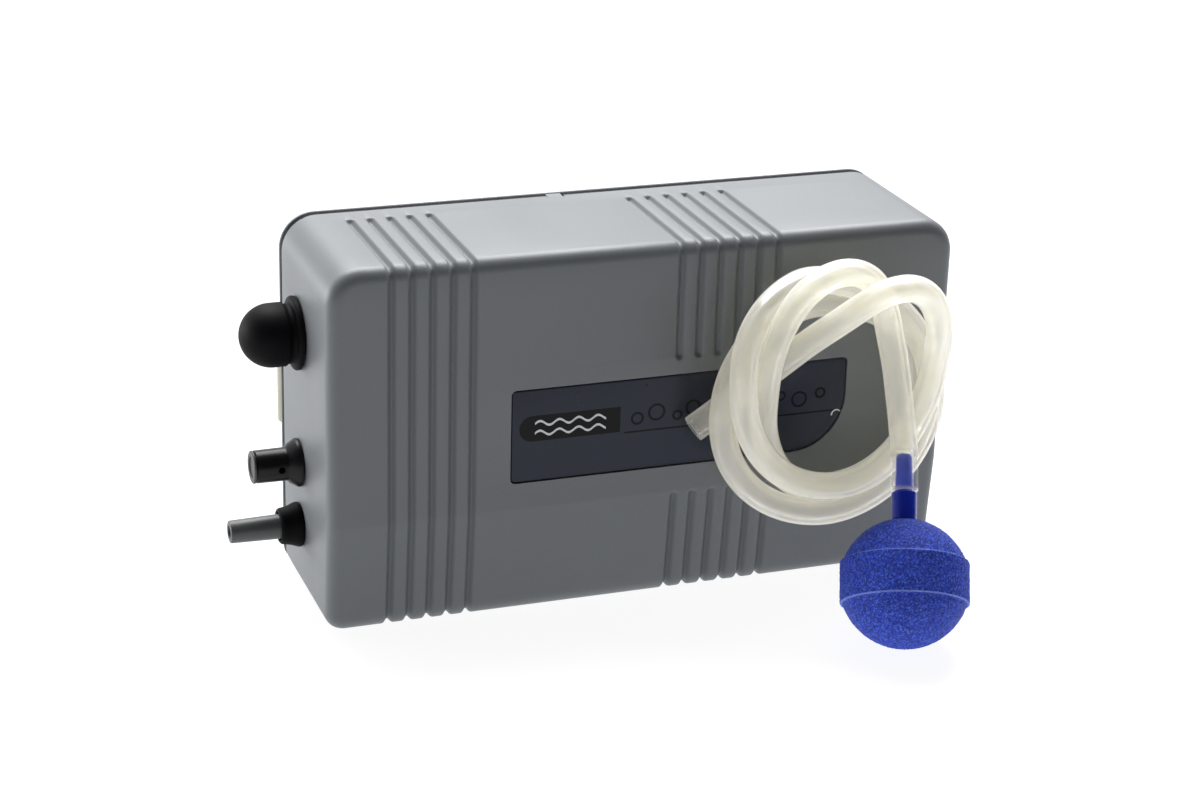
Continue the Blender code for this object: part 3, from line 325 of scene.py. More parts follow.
def stone_surface():
    """Bonded blue grit: grains of several blues, painted shade in the pores between them, and a pale seam at
    the belt.
    """
    nodes = surface("stone_blue", (0.02, 0.075, 0.70), 0.78, spread=0.1, grain=1500.0, depth=0.25,
                    blotch=0.12, blotch_size=120.0, specular=0.35)
    coord = nodes["Texture Coordinate"].outputs["Object"]
    fine = nodes["Noise Texture"].outputs["Fac"]
    grains = add_node(nodes, "TexVoronoi", {"Vector": coord, "Scale": 2500.0}).node.outputs
    blues = ramp(nodes, grains["Color"], [(0.0, (0.022, 0.050, 0.50)), (0.55, (0.040, 0.096, 0.76)),
                                          (1.0, (0.11, 0.21, 0.95))])
    # Each grain darkens towards its edge: painted shade in the pores between the grains
    shade = mix(nodes, 1.0, blues, remap(nodes, grains["Distance"], 0.25, 0.75, 1.0, 0.35), "MULTIPLY")
    along = add_node(nodes, "VectorMath", {0: coord, 1: STONE_AXIS}, "Value", operation="DOT_PRODUCT")
    height = calculate(nodes, "ABSOLUTE", along)
    ridge = calculate(nodes, "COMPARE", height, STONE_BELT * MM, 0.13 * MM)
    seam = mix(nodes, calculate(nodes, "MULTIPLY", ridge, fine), shade, (0.30, 0.42, 0.95, 1))
    set_inputs(nodes["Principled BSDF"], {"Base Color": seam})


def make_materials():
    """Every finish: those named after the record's slots, and a few of the scene's own."""
    surface("case_grey", (0.142, 0.155, 0.166), 0.46, spread=0.05, grain=2600.0, depth=0.02, blotch=0.05,
            blotch_size=28.0, wear_and_edge_highlight=0.22, wear_and_highlight_color=(0.36, 0.38, 0.40))
    surface("black_rubber", (0.003, 0.003, 0.004), 0.6, spread=0.08, grain=1800.0, depth=0.03, blotch=0.2,
            wear_and_edge_highlight=0.08, wear_and_highlight_color=(0.05, 0.05, 0.05), specular=0.08)
    surface("black_plastic", (0.004, 0.004, 0.005), 0.36, spread=0.06, grain=1500.0, depth=0.012, blotch=0.15,
            wear_and_edge_highlight=0.12, wear_and_highlight_color=(0.10, 0.10, 0.10), specular=0.22)
    surface("light_grey", (0.056, 0.060, 0.062), 0.46, grain=2200.0, depth=0.015, blotch=0.06, wear_and_edge_highlight=0.3,
            wear_and_highlight_color=(0.3, 0.3, 0.3))
    surface("cap_grey", (0.035, 0.036, 0.038), 0.5, grain=2200.0, depth=0.02, blotch=0.1, wear_and_edge_highlight=0.3,
            wear_and_highlight_color=(0.1, 0.1, 0.1))
    surface("label_navy", (0.010, 0.015, 0.032), 0.32, grain=5000.0, depth=0.004, blotch=0.05,
            blotch_size=30.0, specular=0.28)
    surface("ivory", (0.40, 0.40, 0.31), 0.42, grain=1600.0, depth=0.02, blotch=0.06, wear_and_edge_highlight=0.25,
            wear_and_highlight_color=(0.52, 0.52, 0.44), specular=0.3)
    surface("steel", (0.56, 0.57, 0.58), 0.28, spread=0.1, metallic=1.0, grain=900.0, depth=0.006, blotch=0.1,
            stretch=(1, 1, 14))
    surface("brass", (0.66, 0.47, 0.20), 0.27, spread=0.1, metallic=1.0, grain=900.0, depth=0.006,
            blotch=0.14, stretch=(1, 10, 1))
    surface("pump_white", (0.46, 0.46, 0.42), 0.45, grain=2000.0, depth=0.02, blotch=0.06, specular=0.3)
    surface("magnet_grey", (0.07, 0.07, 0.075), 0.62, grain=2500.0, depth=0.03, blotch=0.2)
    surface("copper", (0.66, 0.27, 0.13), 0.3, spread=0.1, metallic=1.0, grain=1400.0, depth=0.03,
            blotch=0.15, stretch=(1, 8, 1))
    surface("cell_sleeve", (0.03, 0.13, 0.09), 0.3, grain=1200.0, depth=0.008, blotch=0.08, coat=0.4)
    surface("felt", (0.55, 0.55, 0.5), 0.95, grain=3000.0, depth=0.3, blotch=0.15)
    for name, color in (("red_wire", (0.5, 0.02, 0.02)), ("black_wire", (0.02, 0.02, 0.02)),
                        ("blue_wire", (0.02, 0.06, 0.42))):
        surface(name, color, 0.38, grain=1500.0, depth=0.01, blotch=0.1)
    surface("stem_blue", (0.006, 0.025, 0.45), 0.26, grain=1400.0, depth=0.01, blotch=0.08)
    surface("barb_blue", (0.02, 0.075, 0.80), 0.35, grain=1400.0, depth=0.01, blotch=0.08)
    surface("print_white", (0.66, 0.68, 0.70), 0.4, grain=3500.0, depth=0.003, blotch=0.08)
    surface("print_black", (0.004, 0.004, 0.005), 0.34, grain=3500.0, depth=0.003, blotch=0.08, specular=0.14)
    surface("cell_band", (0.62, 0.50, 0.22), 0.28, metallic=1.0, grain=1200.0, depth=0.006, blotch=0.1)
    hose_surface()
    stone_surface()


# ---------------------------------------------------------------- mesh builders

def solid(name, verts, faces, location, mat, sharp_angle=SHARP_ANGLE):
    """A closed mesh from points in millimetres around the object's own origin."""
    bm = bmesh.new()
    corners = [bm.verts.new(Vector(v) * MM) for v in verts]
    for face in faces:
        bm.faces.new([corners[i] for i in face])
    bmesh.ops.recalc_face_normals(bm, faces=bm.faces[:])
    mesh = bpy.data.meshes.new(name)
    bm.to_mesh(mesh)
    bm.free()
    obj = bpy.data.objects.new(name, mesh)
    bpy.context.scene.collection.objects.link(obj)
    obj.location = location
    if mat is not None:
        mesh.materials.append(SLOTS[mat])
    mesh.shade_smooth()
    mesh.set_sharp_from_angle(angle=radians(sharp_angle))
    return obj


def turned(name, profile, axis, location, mat, steps=64, sharp_angle=SHARP_ANGLE):
    """A turned solid: the profile is a closed line of (along the axis, radius)."""
    along, side, up = AXES[axis]
    verts, rings = [], []
    for distance, radius in profile:
        if radius == 0:
            rings.append([len(verts)])
            verts.append(along * distance)
            continue
        rings.append(list(range(len(verts), len(verts) + steps)))
        for i in range(steps):
            angle = 2 * pi * i / steps
            verts.append(along * distance + (side * cos(angle) + up * sin(angle)) * radius)
    faces = []
    for one, two in zip(rings, rings[1:] + rings[:1]):
        for i in range(steps):
            j = (i + 1) % steps
            corners = [one[i % len(one)], one[j % len(one)], two[j % len(two)], two[i % len(two)]]
            corners = list(dict.fromkeys(corners))
            if len(corners) > 2:
                faces.append(corners)
    return solid(name, verts, faces, location, mat, sharp_angle)


def rod(name, axis, start, end, radius, location, steps=40):
    """A plain cylinder that cuts or joins another piece."""
    return turned(name, [(start, 0), (start, radius), (end, radius), (end, 0)], axis, location, None, steps)


def loft(name, loops, mat=None, location=CASE_CORNER, ring=False, sharp_angle=SHARP_ANGLE):
    """A skin through loops of as many points each, closed by caps or, for a ring, on itself."""
    count = len(loops[0])
    verts = [point for loop in loops for point in loop]
    pairs = list(zip(range(len(loops)), range(1, len(loops))))
    if ring:
        pairs.append((len(loops) - 1, 0))
    faces = []
    for one, two in pairs:
        for i in range(count):
            j = (i + 1) % count
            faces.append([one * count + i, one * count + j, two * count + j, two * count + i])
    if not ring:
        faces.append(list(range(count)))
        faces.append([(len(loops) - 1) * count + i for i in range(count)])
    return solid(name, verts, faces, location, mat, sharp_angle)


def prism(name, outline, axis, start, end, mat=None, location=CASE_CORNER):
    """An outline drawn across the axis, pulled along it from start to end."""
    along, side, up = AXES[axis]
    rings = [[along * d + side * a + up * b for a, b in outline] for d in (start, end)]
    return loft(name, rings, mat, location)


def block(name, low, high):
    """A plain box that cuts or joins another piece."""
    length, depth, height = Vector(high) - Vector(low)
    return prism(name, [(0, 0), (depth, 0), (depth, height), (0, height)], "X", 0, length,
                 location=spot(*low))


def soft_slab(name, outline, start, end, edge, mat):
    """A plate seen from the front, as points of (x, z), with its front edge rounded over."""
    middle = Vector((sum(x for x, _ in outline), sum(z for _, z in outline))) / len(outline)
    loops = [[(x, end, z) for x, z in outline]]
    for k in range(4):
        turn = pi / 2 * k / 3
        shrink = edge * (1 - cos(turn))
        loop = []
        for x, z in outline:
            inward = (middle - Vector((x, z))).normalized() * shrink
            loop.append((x + inward.x, start + edge * (1 - sin(turn)), z + inward.y))
        loops.append(loop)
    return loft(name, loops, mat)


def combine(target, tool, operation):
    """Cut the tool from the target, or join it on, once the target is baked."""
    modifier = target.modifiers.new(tool.name, "BOOLEAN")
    modifier.operation = operation
    modifier.object = tool
    tool.hide_render = True


def bake(obj):
    """Apply the object's Booleans and remove their tools."""
    tools = [modifier.object for modifier in obj.modifiers if modifier.type == "BOOLEAN"]
    bpy.context.view_layer.update()
    mesh = bpy.data.meshes.new_from_object(obj.evaluated_get(bpy.context.evaluated_depsgraph_get()))
    obj.modifiers.clear()
    old = obj.data
    obj.data = mesh
    mesh.name = obj.name
    bpy.data.meshes.remove(old)
    mesh.shade_smooth()
    mesh.set_sharp_from_angle(angle=radians(SHARP_ANGLE))
    for tool in tools:
        bpy.data.objects.remove(tool, do_unlink=True)
    return obj


def place(obj, body, slot, *nodes):
    """The piece rides on a body and stands for CAD nodes, which it hides; the slot is not used."""
    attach(obj, body)
    if nodes:
        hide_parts(*nodes)
    return obj


def rounded_corners(corners, steps):
    """An outline in (x, z) through corners of (x, z, radius) that turn at right angles."""
    points = []
    for i, (x, z, radius) in enumerate(corners):
        before = Vector(corners[i - 1][:2])
        after = Vector(corners[(i + 1) % len(corners)][:2])
        here = Vector((x, z))
        into, out = (before - here).normalized(), (after - here).normalized()
        centre = here + (into + out) * radius
        for k in range(steps + 1):
            turn = pi / 2 * k / steps
            points.append(tuple(centre - out * radius * cos(turn) - into * radius * sin(turn)))
    return points


def smooth_route(points, spacing, passes):
    """Points at about even spacing along a Catmull-Rom curve, eased by averaging passes."""
    knots = [Vector(p) for p in points]
    knots = [2 * knots[0] - knots[1]] + knots + [2 * knots[-1] - knots[-2]]
    route = []
    for a, b, c, d in zip(knots, knots[1:], knots[2:], knots[3:]):
        count = max(1, round((c - b).length / spacing))
        for k in range(count):
            t = k / count
            route.append(0.5 * (2 * b + (c - a) * t + (2 * a - 5 * b + 4 * c - d) * t ** 2
                                + (3 * b - a - 3 * c + d) * t ** 3))
    route.append(knots[-2])
    for _ in range(passes):
        middle = [(a + 2 * b + c) / 4 for a, b, c in zip(route, route[1:], route[2:])]
        route = [route[0]] + middle + [route[-1]]
    return route


# ---------------------------------------------------------------- hose and air stone

def coil_turns():
    """The coil's rounds: a quarter of an ellipse from each mark to the next, its depth changing evenly."""
    marks = [mark for round_marks in ROUNDS for mark in round_marks] + [COIL_END]
    points = []
    for i, (here, ahead) in enumerate(zip(marks, marks[1:])):
        for k in range(QUARTER_STEPS):
            turn = pi / 2 * k / QUARTER_STEPS
            early, late = 1 - cos(turn), sin(turn)
            across, upward = (late, early) if i % 2 == 0 else (early, late)
            points.append((here[0] + (ahead[0] - here[0]) * across,
                           here[1] + (ahead[1] - here[1]) * k / QUARTER_STEPS,
                           here[2] + (ahead[2] - here[2]) * upward))
    return points + [COIL_END]


def make_hose():
    """The airline: a tube with eased ends along its route, clearer over the barb and at its bare end."""
    start = STONE_CENTRE + STONE_AXIS * (STEM_END + GAP)
    second = STONE_CENTRE + STONE_AXIS * (STEM_END + 4.0)
    route = smooth_route([start, second] + LEAD_ROUTE + coil_turns() + TAIL_ROUTE, 1.0, 6)
    steps = 24
    sections = []
    side = STONE_AXIS.orthogonal().normalized()
    for i, here in enumerate(route):
        ahead = (route[min(i + 1, len(route) - 1)] - route[max(i - 1, 0)]).normalized()
        side = (side - ahead * side.dot(ahead)).normalized()
        sections.append((here, ahead, side, ahead.cross(side)))

    def ring(section, radius, shift=0.0):
        here, ahead, across, up = section
        turns = [2 * pi * k / steps for k in range(steps)]
        return [here + ahead * shift + (across * cos(a) + up * sin(a)) * radius for a in turns]

    outer = [ring(s, TUBE_RADIUS) for s in sections]
    inner = [ring(s, TUBE_BORE) for s in reversed(sections)]
    ease = 0.2
    outer[0] = ring(sections[0], TUBE_RADIUS - ease)
    outer.insert(1, ring(sections[0], TUBE_RADIUS, ease))
    outer[-1] = ring(sections[-1], TUBE_RADIUS, -ease)
    outer.append(ring(sections[-1], TUBE_RADIUS - ease))
    origin = route[0]
    loops = [[point - origin for point in loop] for loop in outer + inner]
    hose = loft("airline_hose", loops, "clear_tube", spot(*origin), ring=True, sharp_angle=60.0)

    distance, travelled = [0.0], 0.0
    for one, two in zip(route, route[1:]):
        travelled += (two - one).length
        distance.append(travelled)
    along = [distance[0]] + distance[:-1] + [distance[-1], distance[-1]] + distance[::-1]
    attribute = hose.data.attributes.new("thin", "FLOAT", "POINT")
    for i, where in enumerate(along):
        past_barb = min(1.0, max(0.0, (where - BARB_LENGTH + 2.0) / 4.0))
        before_end = min(1.0, max(0.0, (travelled - where) / 22.0))
        cut_face = 0.85 * max(0.0, 1 - where)
        thin = max(cut_face, min(0.14 + 0.86 * past_barb, 0.55 + 0.45 * before_end))
        for k in range(steps):
            attribute.data[i * steps + k].value = thin
    place(hose, "pump", "clear_tube", "airline_lead", "airline_coil", "airline_tail")
    return hose, route, travelled


def make_air_stone():
    """The gritty ball with its straight belt, its stem, and the barb that the airline is pushed over."""
    tilt = STONE_AXIS.to_track_quat("Z", "Y").to_matrix().to_4x4()
    belt_radius = STONE_RADIUS - 0.15
    rows = 54
    profile = [(-STONE_RADIUS, 0)]
    for k in range(1, 2 * rows):
        along = -STONE_RADIUS * cos(pi * k / (2 * rows))
        radius = sqrt(STONE_RADIUS ** 2 - along ** 2)
        if abs(along) < STONE_BELT:
            radius = belt_radius
        profile.append((along, radius))
    profile.append((STONE_RADIUS, 0))
    ball = turned("stone_ball_grit", profile, "Z", spot(*STONE_CENTRE), "stone_blue", steps=150,
                  sharp_angle=80.0)
    for vertex in ball.data.vertices:
        where = vertex.co / MM
        grit = noise.noise(where * 2.3) * 0.10 + noise.noise(where * 4.6) * 0.10
        vertex.co += where.normalized() * (grit - 0.1) * MM
    ball.data.transform(tilt)
    place(ball, "pump", "stone_blue", "stone_ball")

    r = STEM_RADIUS
    profile = [(STONE_RADIUS + GAP - 0.5, 0), (STONE_RADIUS + GAP - 0.5, r - 0.1), (STEM_END - 0.25, r),
               (STEM_END, r - 0.25), (STEM_END, 0)]
    stem = turned("stone_stem_body", profile, "Z", spot(*STONE_CENTRE), "stem_blue")
    stem.data.transform(tilt)
    place(stem, "pump", "stem_blue", "stone_stem")
    profile = [(STEM_END + 0.02, 0), (STEM_END + 0.02, 1.92), (STEM_END + 3.2, 1.92), (STEM_END + 3.5, 1.8),
               (STEM_END + 7.9, 1.7), (STEM_END + 8.4, 1.4), (STEM_END + 8.4, 0.9), (STEM_END + 5.0, 0.9),
               (STEM_END + 5.0, 0)]
    barb = turned("stone_barb", profile, "Z", spot(*STONE_CENTRE), "barb_blue", steps=40)
    barb.data.transform(tilt)
    place(barb, "pump", "stem_blue")
    return [ball, stem, barb]


# ---------------------------------------------------------------- case

def slope_back(z):
    """How far the front leans back at a height below the slope's top."""
    return max(0.0, SLOPE_TOP - z) * SLOPE_BACK / SLOPE_TOP


def groove_depth(x, y, z):
    """Depth of the grip grooves at a place on the unmarked skin."""
    overshoot = max(0.0, y - GROOVE_START_Y)
    on_front = y < FRONT_FILLET + SLOPE_BACK
    low, high = LABEL_BREAK
    if x > RIGHT_BAND[0] - GROOVE_PITCH and on_front and low < z < high:
        overshoot = min(z - low, high - z)
    nearest = min(abs(x - centre) for centre in LEFT_BAND + RIGHT_BAND)
    reach = hypot(nearest, overshoot) / GROOVE_HALF_WIDTH
    if reach >= 1:
        return 0.0
    return GROOVE_DEPTH * (1 + cos(pi * reach)) / 2


def case_outline(inset, columns, rows, corner_steps):
    """The case seen from the front, as (x, z, outward x, outward z), starting at the top left."""
    top_r, bottom_r = TOP_RADIUS - inset, max(BOTTOM_RADIUS - inset, 0.3)
    left, right = inset, CASE_LENGTH - inset
    bottom, top = inset, CASE_HEIGHT - inset
    side_rows = [z for z in rows if BOTTOM_RADIUS < z < CASE_HEIGHT - TOP_RADIUS]

    def arc(cx, cz, radius, start, first, last):
        for k in range(first, last + 1):
            angle = radians(start - 90 * k / corner_steps)
            nx, nz = cos(angle), sin(angle)
            yield cx + nx * radius, cz + nz * radius, nx, nz

    points = [(x, top, 0.0, 1.0) for x in columns]
    points += arc(right - top_r, top - top_r, top_r, 90, 1, corner_steps)
    points += [(right, z, 1.0, 0.0) for z in sorted(side_rows, reverse=True)]
    points += arc(right - bottom_r, bottom + bottom_r, bottom_r, 0, 0, corner_steps)
    points += [(x, bottom, 0.0, -1.0) for x in reversed(columns)]
    points += arc(left + bottom_r, bottom + bottom_r, bottom_r, 270, 0, corner_steps)
    points += [(left, z, -1.0, 0.0) for z in sorted(side_rows)]
    points += arc(left + top_r, top - top_r, top_r, 180, 0, corner_steps - 1)
    return points


def case_solid(name, inset, back, fillet, columns, rows, wall_stations, corner_steps, fillet_steps, grooved,
               mat):
    """The case's outer or inner shape: a tub with a filleted, partly sloping front."""
    rows = sorted(set(rows) | {CASE_HEIGHT - inset - fillet, CASE_HEIGHT - TOP_RADIUS, BOTTOM_RADIUS,
                               inset + fillet}, reverse=True)
    outline = case_outline(inset, columns, rows, corner_steps)
    front_edge = inset + fillet
    stations = [(y, 0.0, 0.0) for y in [back] + wall_stations + [front_edge]]
    for k in range(1, fillet_steps + 1):
        turn = pi / 2 * k / fillet_steps
        stations.append((front_edge - fillet * sin(turn), fillet * (1 - cos(turn)), turn))

    def carved(x, y, z, nx, nz, turn):
        share = min(1.0, (back - y) / (back - front_edge))
        depth = groove_depth(x, y, z) if grooved else 0.0
        return (x - nx * cos(turn) * depth,
                y + slope_back(z) * share + sin(turn) * depth,
                z - nz * cos(turn) * depth)

    verts, faces = [], []
    count = len(outline)
    for y, shrink, turn in stations:
        for x, z, nx, nz in outline:
            verts.append(carved(x - nx * shrink, y, z - nz * shrink, nx, nz, turn))
    for ring in range(len(stations) - 1):
        for i in range(count):
            j = (i + 1) % count
            faces.append([ring * count + i, ring * count + j, (ring + 1) * count + j, (ring + 1) * count + i])
    faces.append(list(range(count)))

    last = (len(stations) - 1) * count
    many = len(columns)
    side_count = len([z for z in rows if BOTTOM_RADIUS < z < CASE_HEIGHT - TOP_RADIUS])
    right_side = last + many + corner_steps - 1
    bottom_start = right_side + side_count + corner_steps + 2
    left_side = bottom_start + many + corner_steps
    grid = []
    for i, x in enumerate(columns):
        line = [last + i]
        for z in rows[1:-1]:
            line.append(len(verts))
            verts.append(carved(x, inset, z, 0.0, 0.0, pi / 2))
        line.append(bottom_start + many - 1 - i)
        grid.append(line)
    for one, two in zip(grid, grid[1:]):
        for j in range(len(rows) - 1):
            faces.append([one[j], one[j + 1], two[j + 1], two[j]])
    for k in range(side_count + 1):
        faces.append([right_side + k, right_side + k + 1, grid[-1][k + 2], grid[-1][k + 1]])
        faces.append([left_side + k, left_side + k + 1, grid[0][-3 - k], grid[0][-2 - k]])
    top_left_arc = [left_side + side_count + 1 + k for k in range(corner_steps)]
    faces.append(top_left_arc + grid[0][:2])
    faces.append([last + many - 1 + k for k in range(corner_steps + 1)] + [grid[-1][1]])
    bottom_right_arc = [right_side + side_count + 1 + k for k in range(corner_steps + 1)]
    faces.append(bottom_right_arc + [grid[-1][-1], grid[-1][-2]])
    bottom_left_arc = [bottom_start + many + k for k in range(corner_steps + 1)]
    faces.append([grid[0][-1]] + bottom_left_arc + [grid[0][-2]])
    return solid(name, verts, faces, CASE_CORNER, mat)


def fine_columns():
    """The case's upright mesh lines: close together across each grip groove."""
    offsets = [GROOVE_HALF_WIDTH * (k / 5 - 1) for k in range(11)]
    lines = [centre + offset for centre in LEFT_BAND + RIGHT_BAND for offset in offsets]
    return [TOP_RADIUS] + lines + [CASE_LENGTH - TOP_RADIUS]


def label_outline(shrink):
    """The label with one large rounded corner at its lower right."""
    left, right = LABEL_LEFT + shrink, LABEL_RIGHT - shrink
    bottom, top = LABEL_BOTTOM + shrink, LABEL_TOP - shrink
    small, large = LABEL_SMALL_RADIUS - shrink, LABEL_LARGE_RADIUS - shrink
    corners = [(left, top, small), (right, top, small), (right, bottom, large), (left, bottom, small)]
    return rounded_corners(corners, 10)


def catch_notch(name):
    """The space for the cover's catch in the middle of the top rear edge."""
    return block(name, (CATCH_X - CATCH_HALF_WIDTH, RIM_Y - 1.0, CATCH_FLOOR),
                 (CATCH_X + CATCH_HALF_WIDTH, COVER_FRONT, CASE_HEIGHT + 1))


def make_case():
    """The front case: grooved shell, hollow inside, with posts, ribs, label recess, holes and notch."""
    low, high = LABEL_BREAK
    reach = GROOVE_HALF_WIDTH
    ease = [k * reach / 5 for k in range(6)]
    rows = [high - e for e in ease] + [low + e for e in ease] + [SLOPE_TOP + 0.5, SLOPE_TOP - 0.5]
    rows += [9.0, 13.0, 17.0, 21.0, 31.0, 41.0, 51.0, 61.0, 67.0]
    stations = [GROOVE_START_Y + reach - e for e in ease] + [26.0, 18.0, 10.0]
    case = case_solid("case_shell", 0.0, RIM_Y, FRONT_FILLET, fine_columns(), rows, stations, 10, 6, True,
                      "case_grey")
    ends = [TOP_RADIUS, CASE_LENGTH - TOP_RADIUS]
    inside = case_solid("case_cavity", WALL, RIM_Y + 5, 1.2, ends, [SLOPE_TOP], [], 4, 3, False, None)
    combine(case, inside, "DIFFERENCE")
    for i, (x, z) in enumerate(POSTS):
        root = 1.6 + slope_back(z)
        post = rod(f"post_{i + 1}", "Y", root, CHASSIS_FRONT - GAP, POST_RADIUS, spot(x, 0, z))
        bore = rod(f"post_bore_{i + 1}", "Y", 18.0, CHASSIS_FRONT + 1, POST_BORE, spot(x, 0, z))
        combine(case, post, "UNION")
        combine(case, bore, "DIFFERENCE")
    for i, x in enumerate(RIBS):
        end = x + RIB_THICKNESS
        combine(case, block(f"floor_rib_{i + 1}", (x, 14.0, 1.2), (end, 30.0, 6.2)), "UNION")
        combine(case, block(f"front_rib_{i + 1}", (x, 1.6, 28.0), (end, 4.5, 66.0)), "UNION")
    recess = [(z, x) for x, z in label_outline(0.0)]
    combine(case, prism("label_recess", recess, "Y", -2.0, LABEL_RECESS), "DIFFERENCE")
    for name, z, radius in (("switch_hole", SWITCH_Z, SWITCH_HOLE), ("intake_hole", INTAKE_Z, INTAKE_HOLE),
                            ("outlet_hole", OUTLET_Z, OUTLET_HOLE)):
        combine(case, rod(name, "X", -3.0, WALL + 2, radius, spot(0, FITTING_Y, z)), "DIFFERENCE")
    combine(case, catch_notch("case_notch"), "DIFFERENCE")
    return place(bake(case), "pump", "case_grey", "front_case")


def printed(name, outline, mat, layers=1):
    """A mark of thin ink on the label, from its outline in (x, z)."""
    shape = [(z, x) for x, z in outline]
    mark = prism(name, shape, "Y", LABEL_SINK - INK * layers, LABEL_SINK + INK_ROOT, mat)
    place(mark, "pump", "label_navy")


def disc(x, z, radius):
    turns = [2 * pi * k / 28 for k in range(28)]
    return [(x + radius * cos(a), z + radius * sin(a)) for a in turns]


def make_pill():
    """A dark pill, round at its left end, with two pale waves on it."""
    left, right, low, high = PILL
    radius = (high - low) / 2
    round_end = [(left + radius - radius * sin(a), low + radius + radius * cos(a))
                 for a in [pi * k / 16 for k in range(17)]]
    printed("label_pill", [(right, high)] + round_end + [(right, low)], "print_black")
    for row, middle in enumerate((42.3, 44.5)):
        crest = [(45.0 + 0.5 * k, middle + 0.55 * sin(k * 0.72)) for k in range(33)]
        wave = [(x, z + 0.26) for x, z in crest] + [(x, z - 0.26) for x, z in reversed(crest)]
        printed(f"label_wave_{row + 1}", wave, "print_white", layers=2)


def make_label():
    """The label plate with its pill, a rule, rising bubbles and a small painted highlight near its right end.
    """
    plate = soft_slab("label_panel", label_outline(GAP), LABEL_SINK, LABEL_SINK + LABEL_THICKNESS, 0.12,
                      "label_navy")
    place(plate, "pump", "label_navy", "label_plate")
    make_pill()
    left, right, low, high = RULE
    printed("label_rule", [(left, low), (right, low), (right, high), (left, high)], "print_black")
    for i, (x, z, radius) in enumerate(BUBBLES):
        line = [(LABEL_SINK - INK, radius), (LABEL_SINK + INK_ROOT, radius),
                (LABEL_SINK + INK_ROOT, radius - BUBBLE_LINE), (LABEL_SINK - INK, radius - BUBBLE_LINE)]
        loops = [[(px, y, pz) for px, pz in disc(x, z, size)] for y, size in line]
        bubble = loft(f"label_bubble_{i + 1}", loops, "print_black", ring=True)
        place(bubble, "pump", "label_navy")
    # A pale arc in white ink near the right end is a painted highlight where the label's raised edge catches
    # the light
    sweep = [radians(30 + 12 * k) for k in range(14)]
    highlight_arc = [(115.2 + 1.25 * cos(a), 39.0 + 1.25 * sin(a)) for a in sweep]
    highlight_arc += [(115.2 + 0.95 * cos(a), 39.0 + 0.95 * sin(a)) for a in reversed(sweep)]
    printed("label_edge_highlight", highlight_arc, "print_white")


# ---------------------------------------------------------------- rear cover and clip

def outline_loop(inset, y):
    """The case's outline as a loop at depth y, for the cover and its gasket."""
    ends = [TOP_RADIUS, CASE_LENGTH - TOP_RADIUS]
    sides = [CASE_HEIGHT - TOP_RADIUS, BOTTOM_RADIUS]
    return [(x, y, z) for x, z, _, _ in case_outline(inset, ends, sides, 12)]


def make_cover():
    """The back panel with its inner lip, its catch and a shallow frame line round the battery end."""
    front = COVER_FRONT
    loops = [outline_loop(0.2, front), outline_loop(0.0, front + 0.2)]
    for k in range(7):
        turn = pi / 2 * k / 6
        loops.append(outline_loop(COVER_EDGE * (1 - cos(turn)),
                                  CASE_DEPTH - COVER_EDGE * (1 - sin(turn))))
    cover = loft("cover_panel", loops, "case_grey")
    inner_lip = LIP_INSET + LIP_THICKNESS
    lip_loops = [outline_loop(LIP_INSET, front - 3.3), outline_loop(LIP_INSET, front + 0.7),
                 outline_loop(inner_lip, front + 0.7), outline_loop(inner_lip, front - 3.3)]
    combine(cover, loft("cover_lip", lip_loops, ring=True), "UNION")
    side = CATCH_HALF_WIDTH - GAP
    combine(cover, block("cover_catch", (CATCH_X - side, RIM_Y - 1.0 + GAP, CATCH_FLOOR + GAP),
                         (CATCH_X + side, front + 0.4, CASE_HEIGHT - 0.15)), "UNION")
    for i, z in enumerate((MID_HEIGHT - 5, MID_HEIGHT + 5)):
        combine(cover, rod(f"clip_hole_{i + 1}", "Y", front - 1, CASE_DEPTH + 1, 1.2, spot(9.6, 0, z)),
                "DIFFERENCE")
    bottom, surface_y = CASE_DEPTH - FRAME_DEPTH, CASE_DEPTH + 1
    edges = []
    for shrink, y in ((0.0, bottom), (0.0, surface_y), (FRAME_WIDTH, surface_y), (FRAME_WIDTH, bottom)):
        left, right = FRAME_LEFT + shrink, CASE_LENGTH - FRAME_MARGIN - shrink
        low, high = FRAME_MARGIN + 1 + shrink, CASE_HEIGHT - FRAME_MARGIN - 1 - shrink
        corners = [(x, z, FRAME_RADIUS - shrink) for x, z in
                   ((left, high), (right, high), (right, low), (left, low))]
        edges.append([(x, y, z) for x, z in rounded_corners(corners, 6)])
    combine(cover, loft("cover_frame", edges, ring=True), "DIFFERENCE")
    place(bake(cover), "cover", "case_grey", "rear_cover")


def make_gasket():
    """The black gasket between case and cover, with eased outer edges and a notch for the catch."""
    ease, front, back = 0.15, RIM_Y + GAP, COVER_FRONT - GAP
    loops = [outline_loop(inset, y) for inset, y in
             ((SEAL_INSET + ease, front), (SEAL_INSET, front + ease), (SEAL_INSET, back - ease),
              (SEAL_INSET + ease, back), (LIP_INSET - GAP, back), (LIP_INSET - GAP, front))]
    seal = loft("cover_gasket", loops, "black_rubber", ring=True)
    combine(seal, catch_notch("seal_notch"), "DIFFERENCE")
    place(bake(seal), "cover", "black_rubber", "cover_seal")


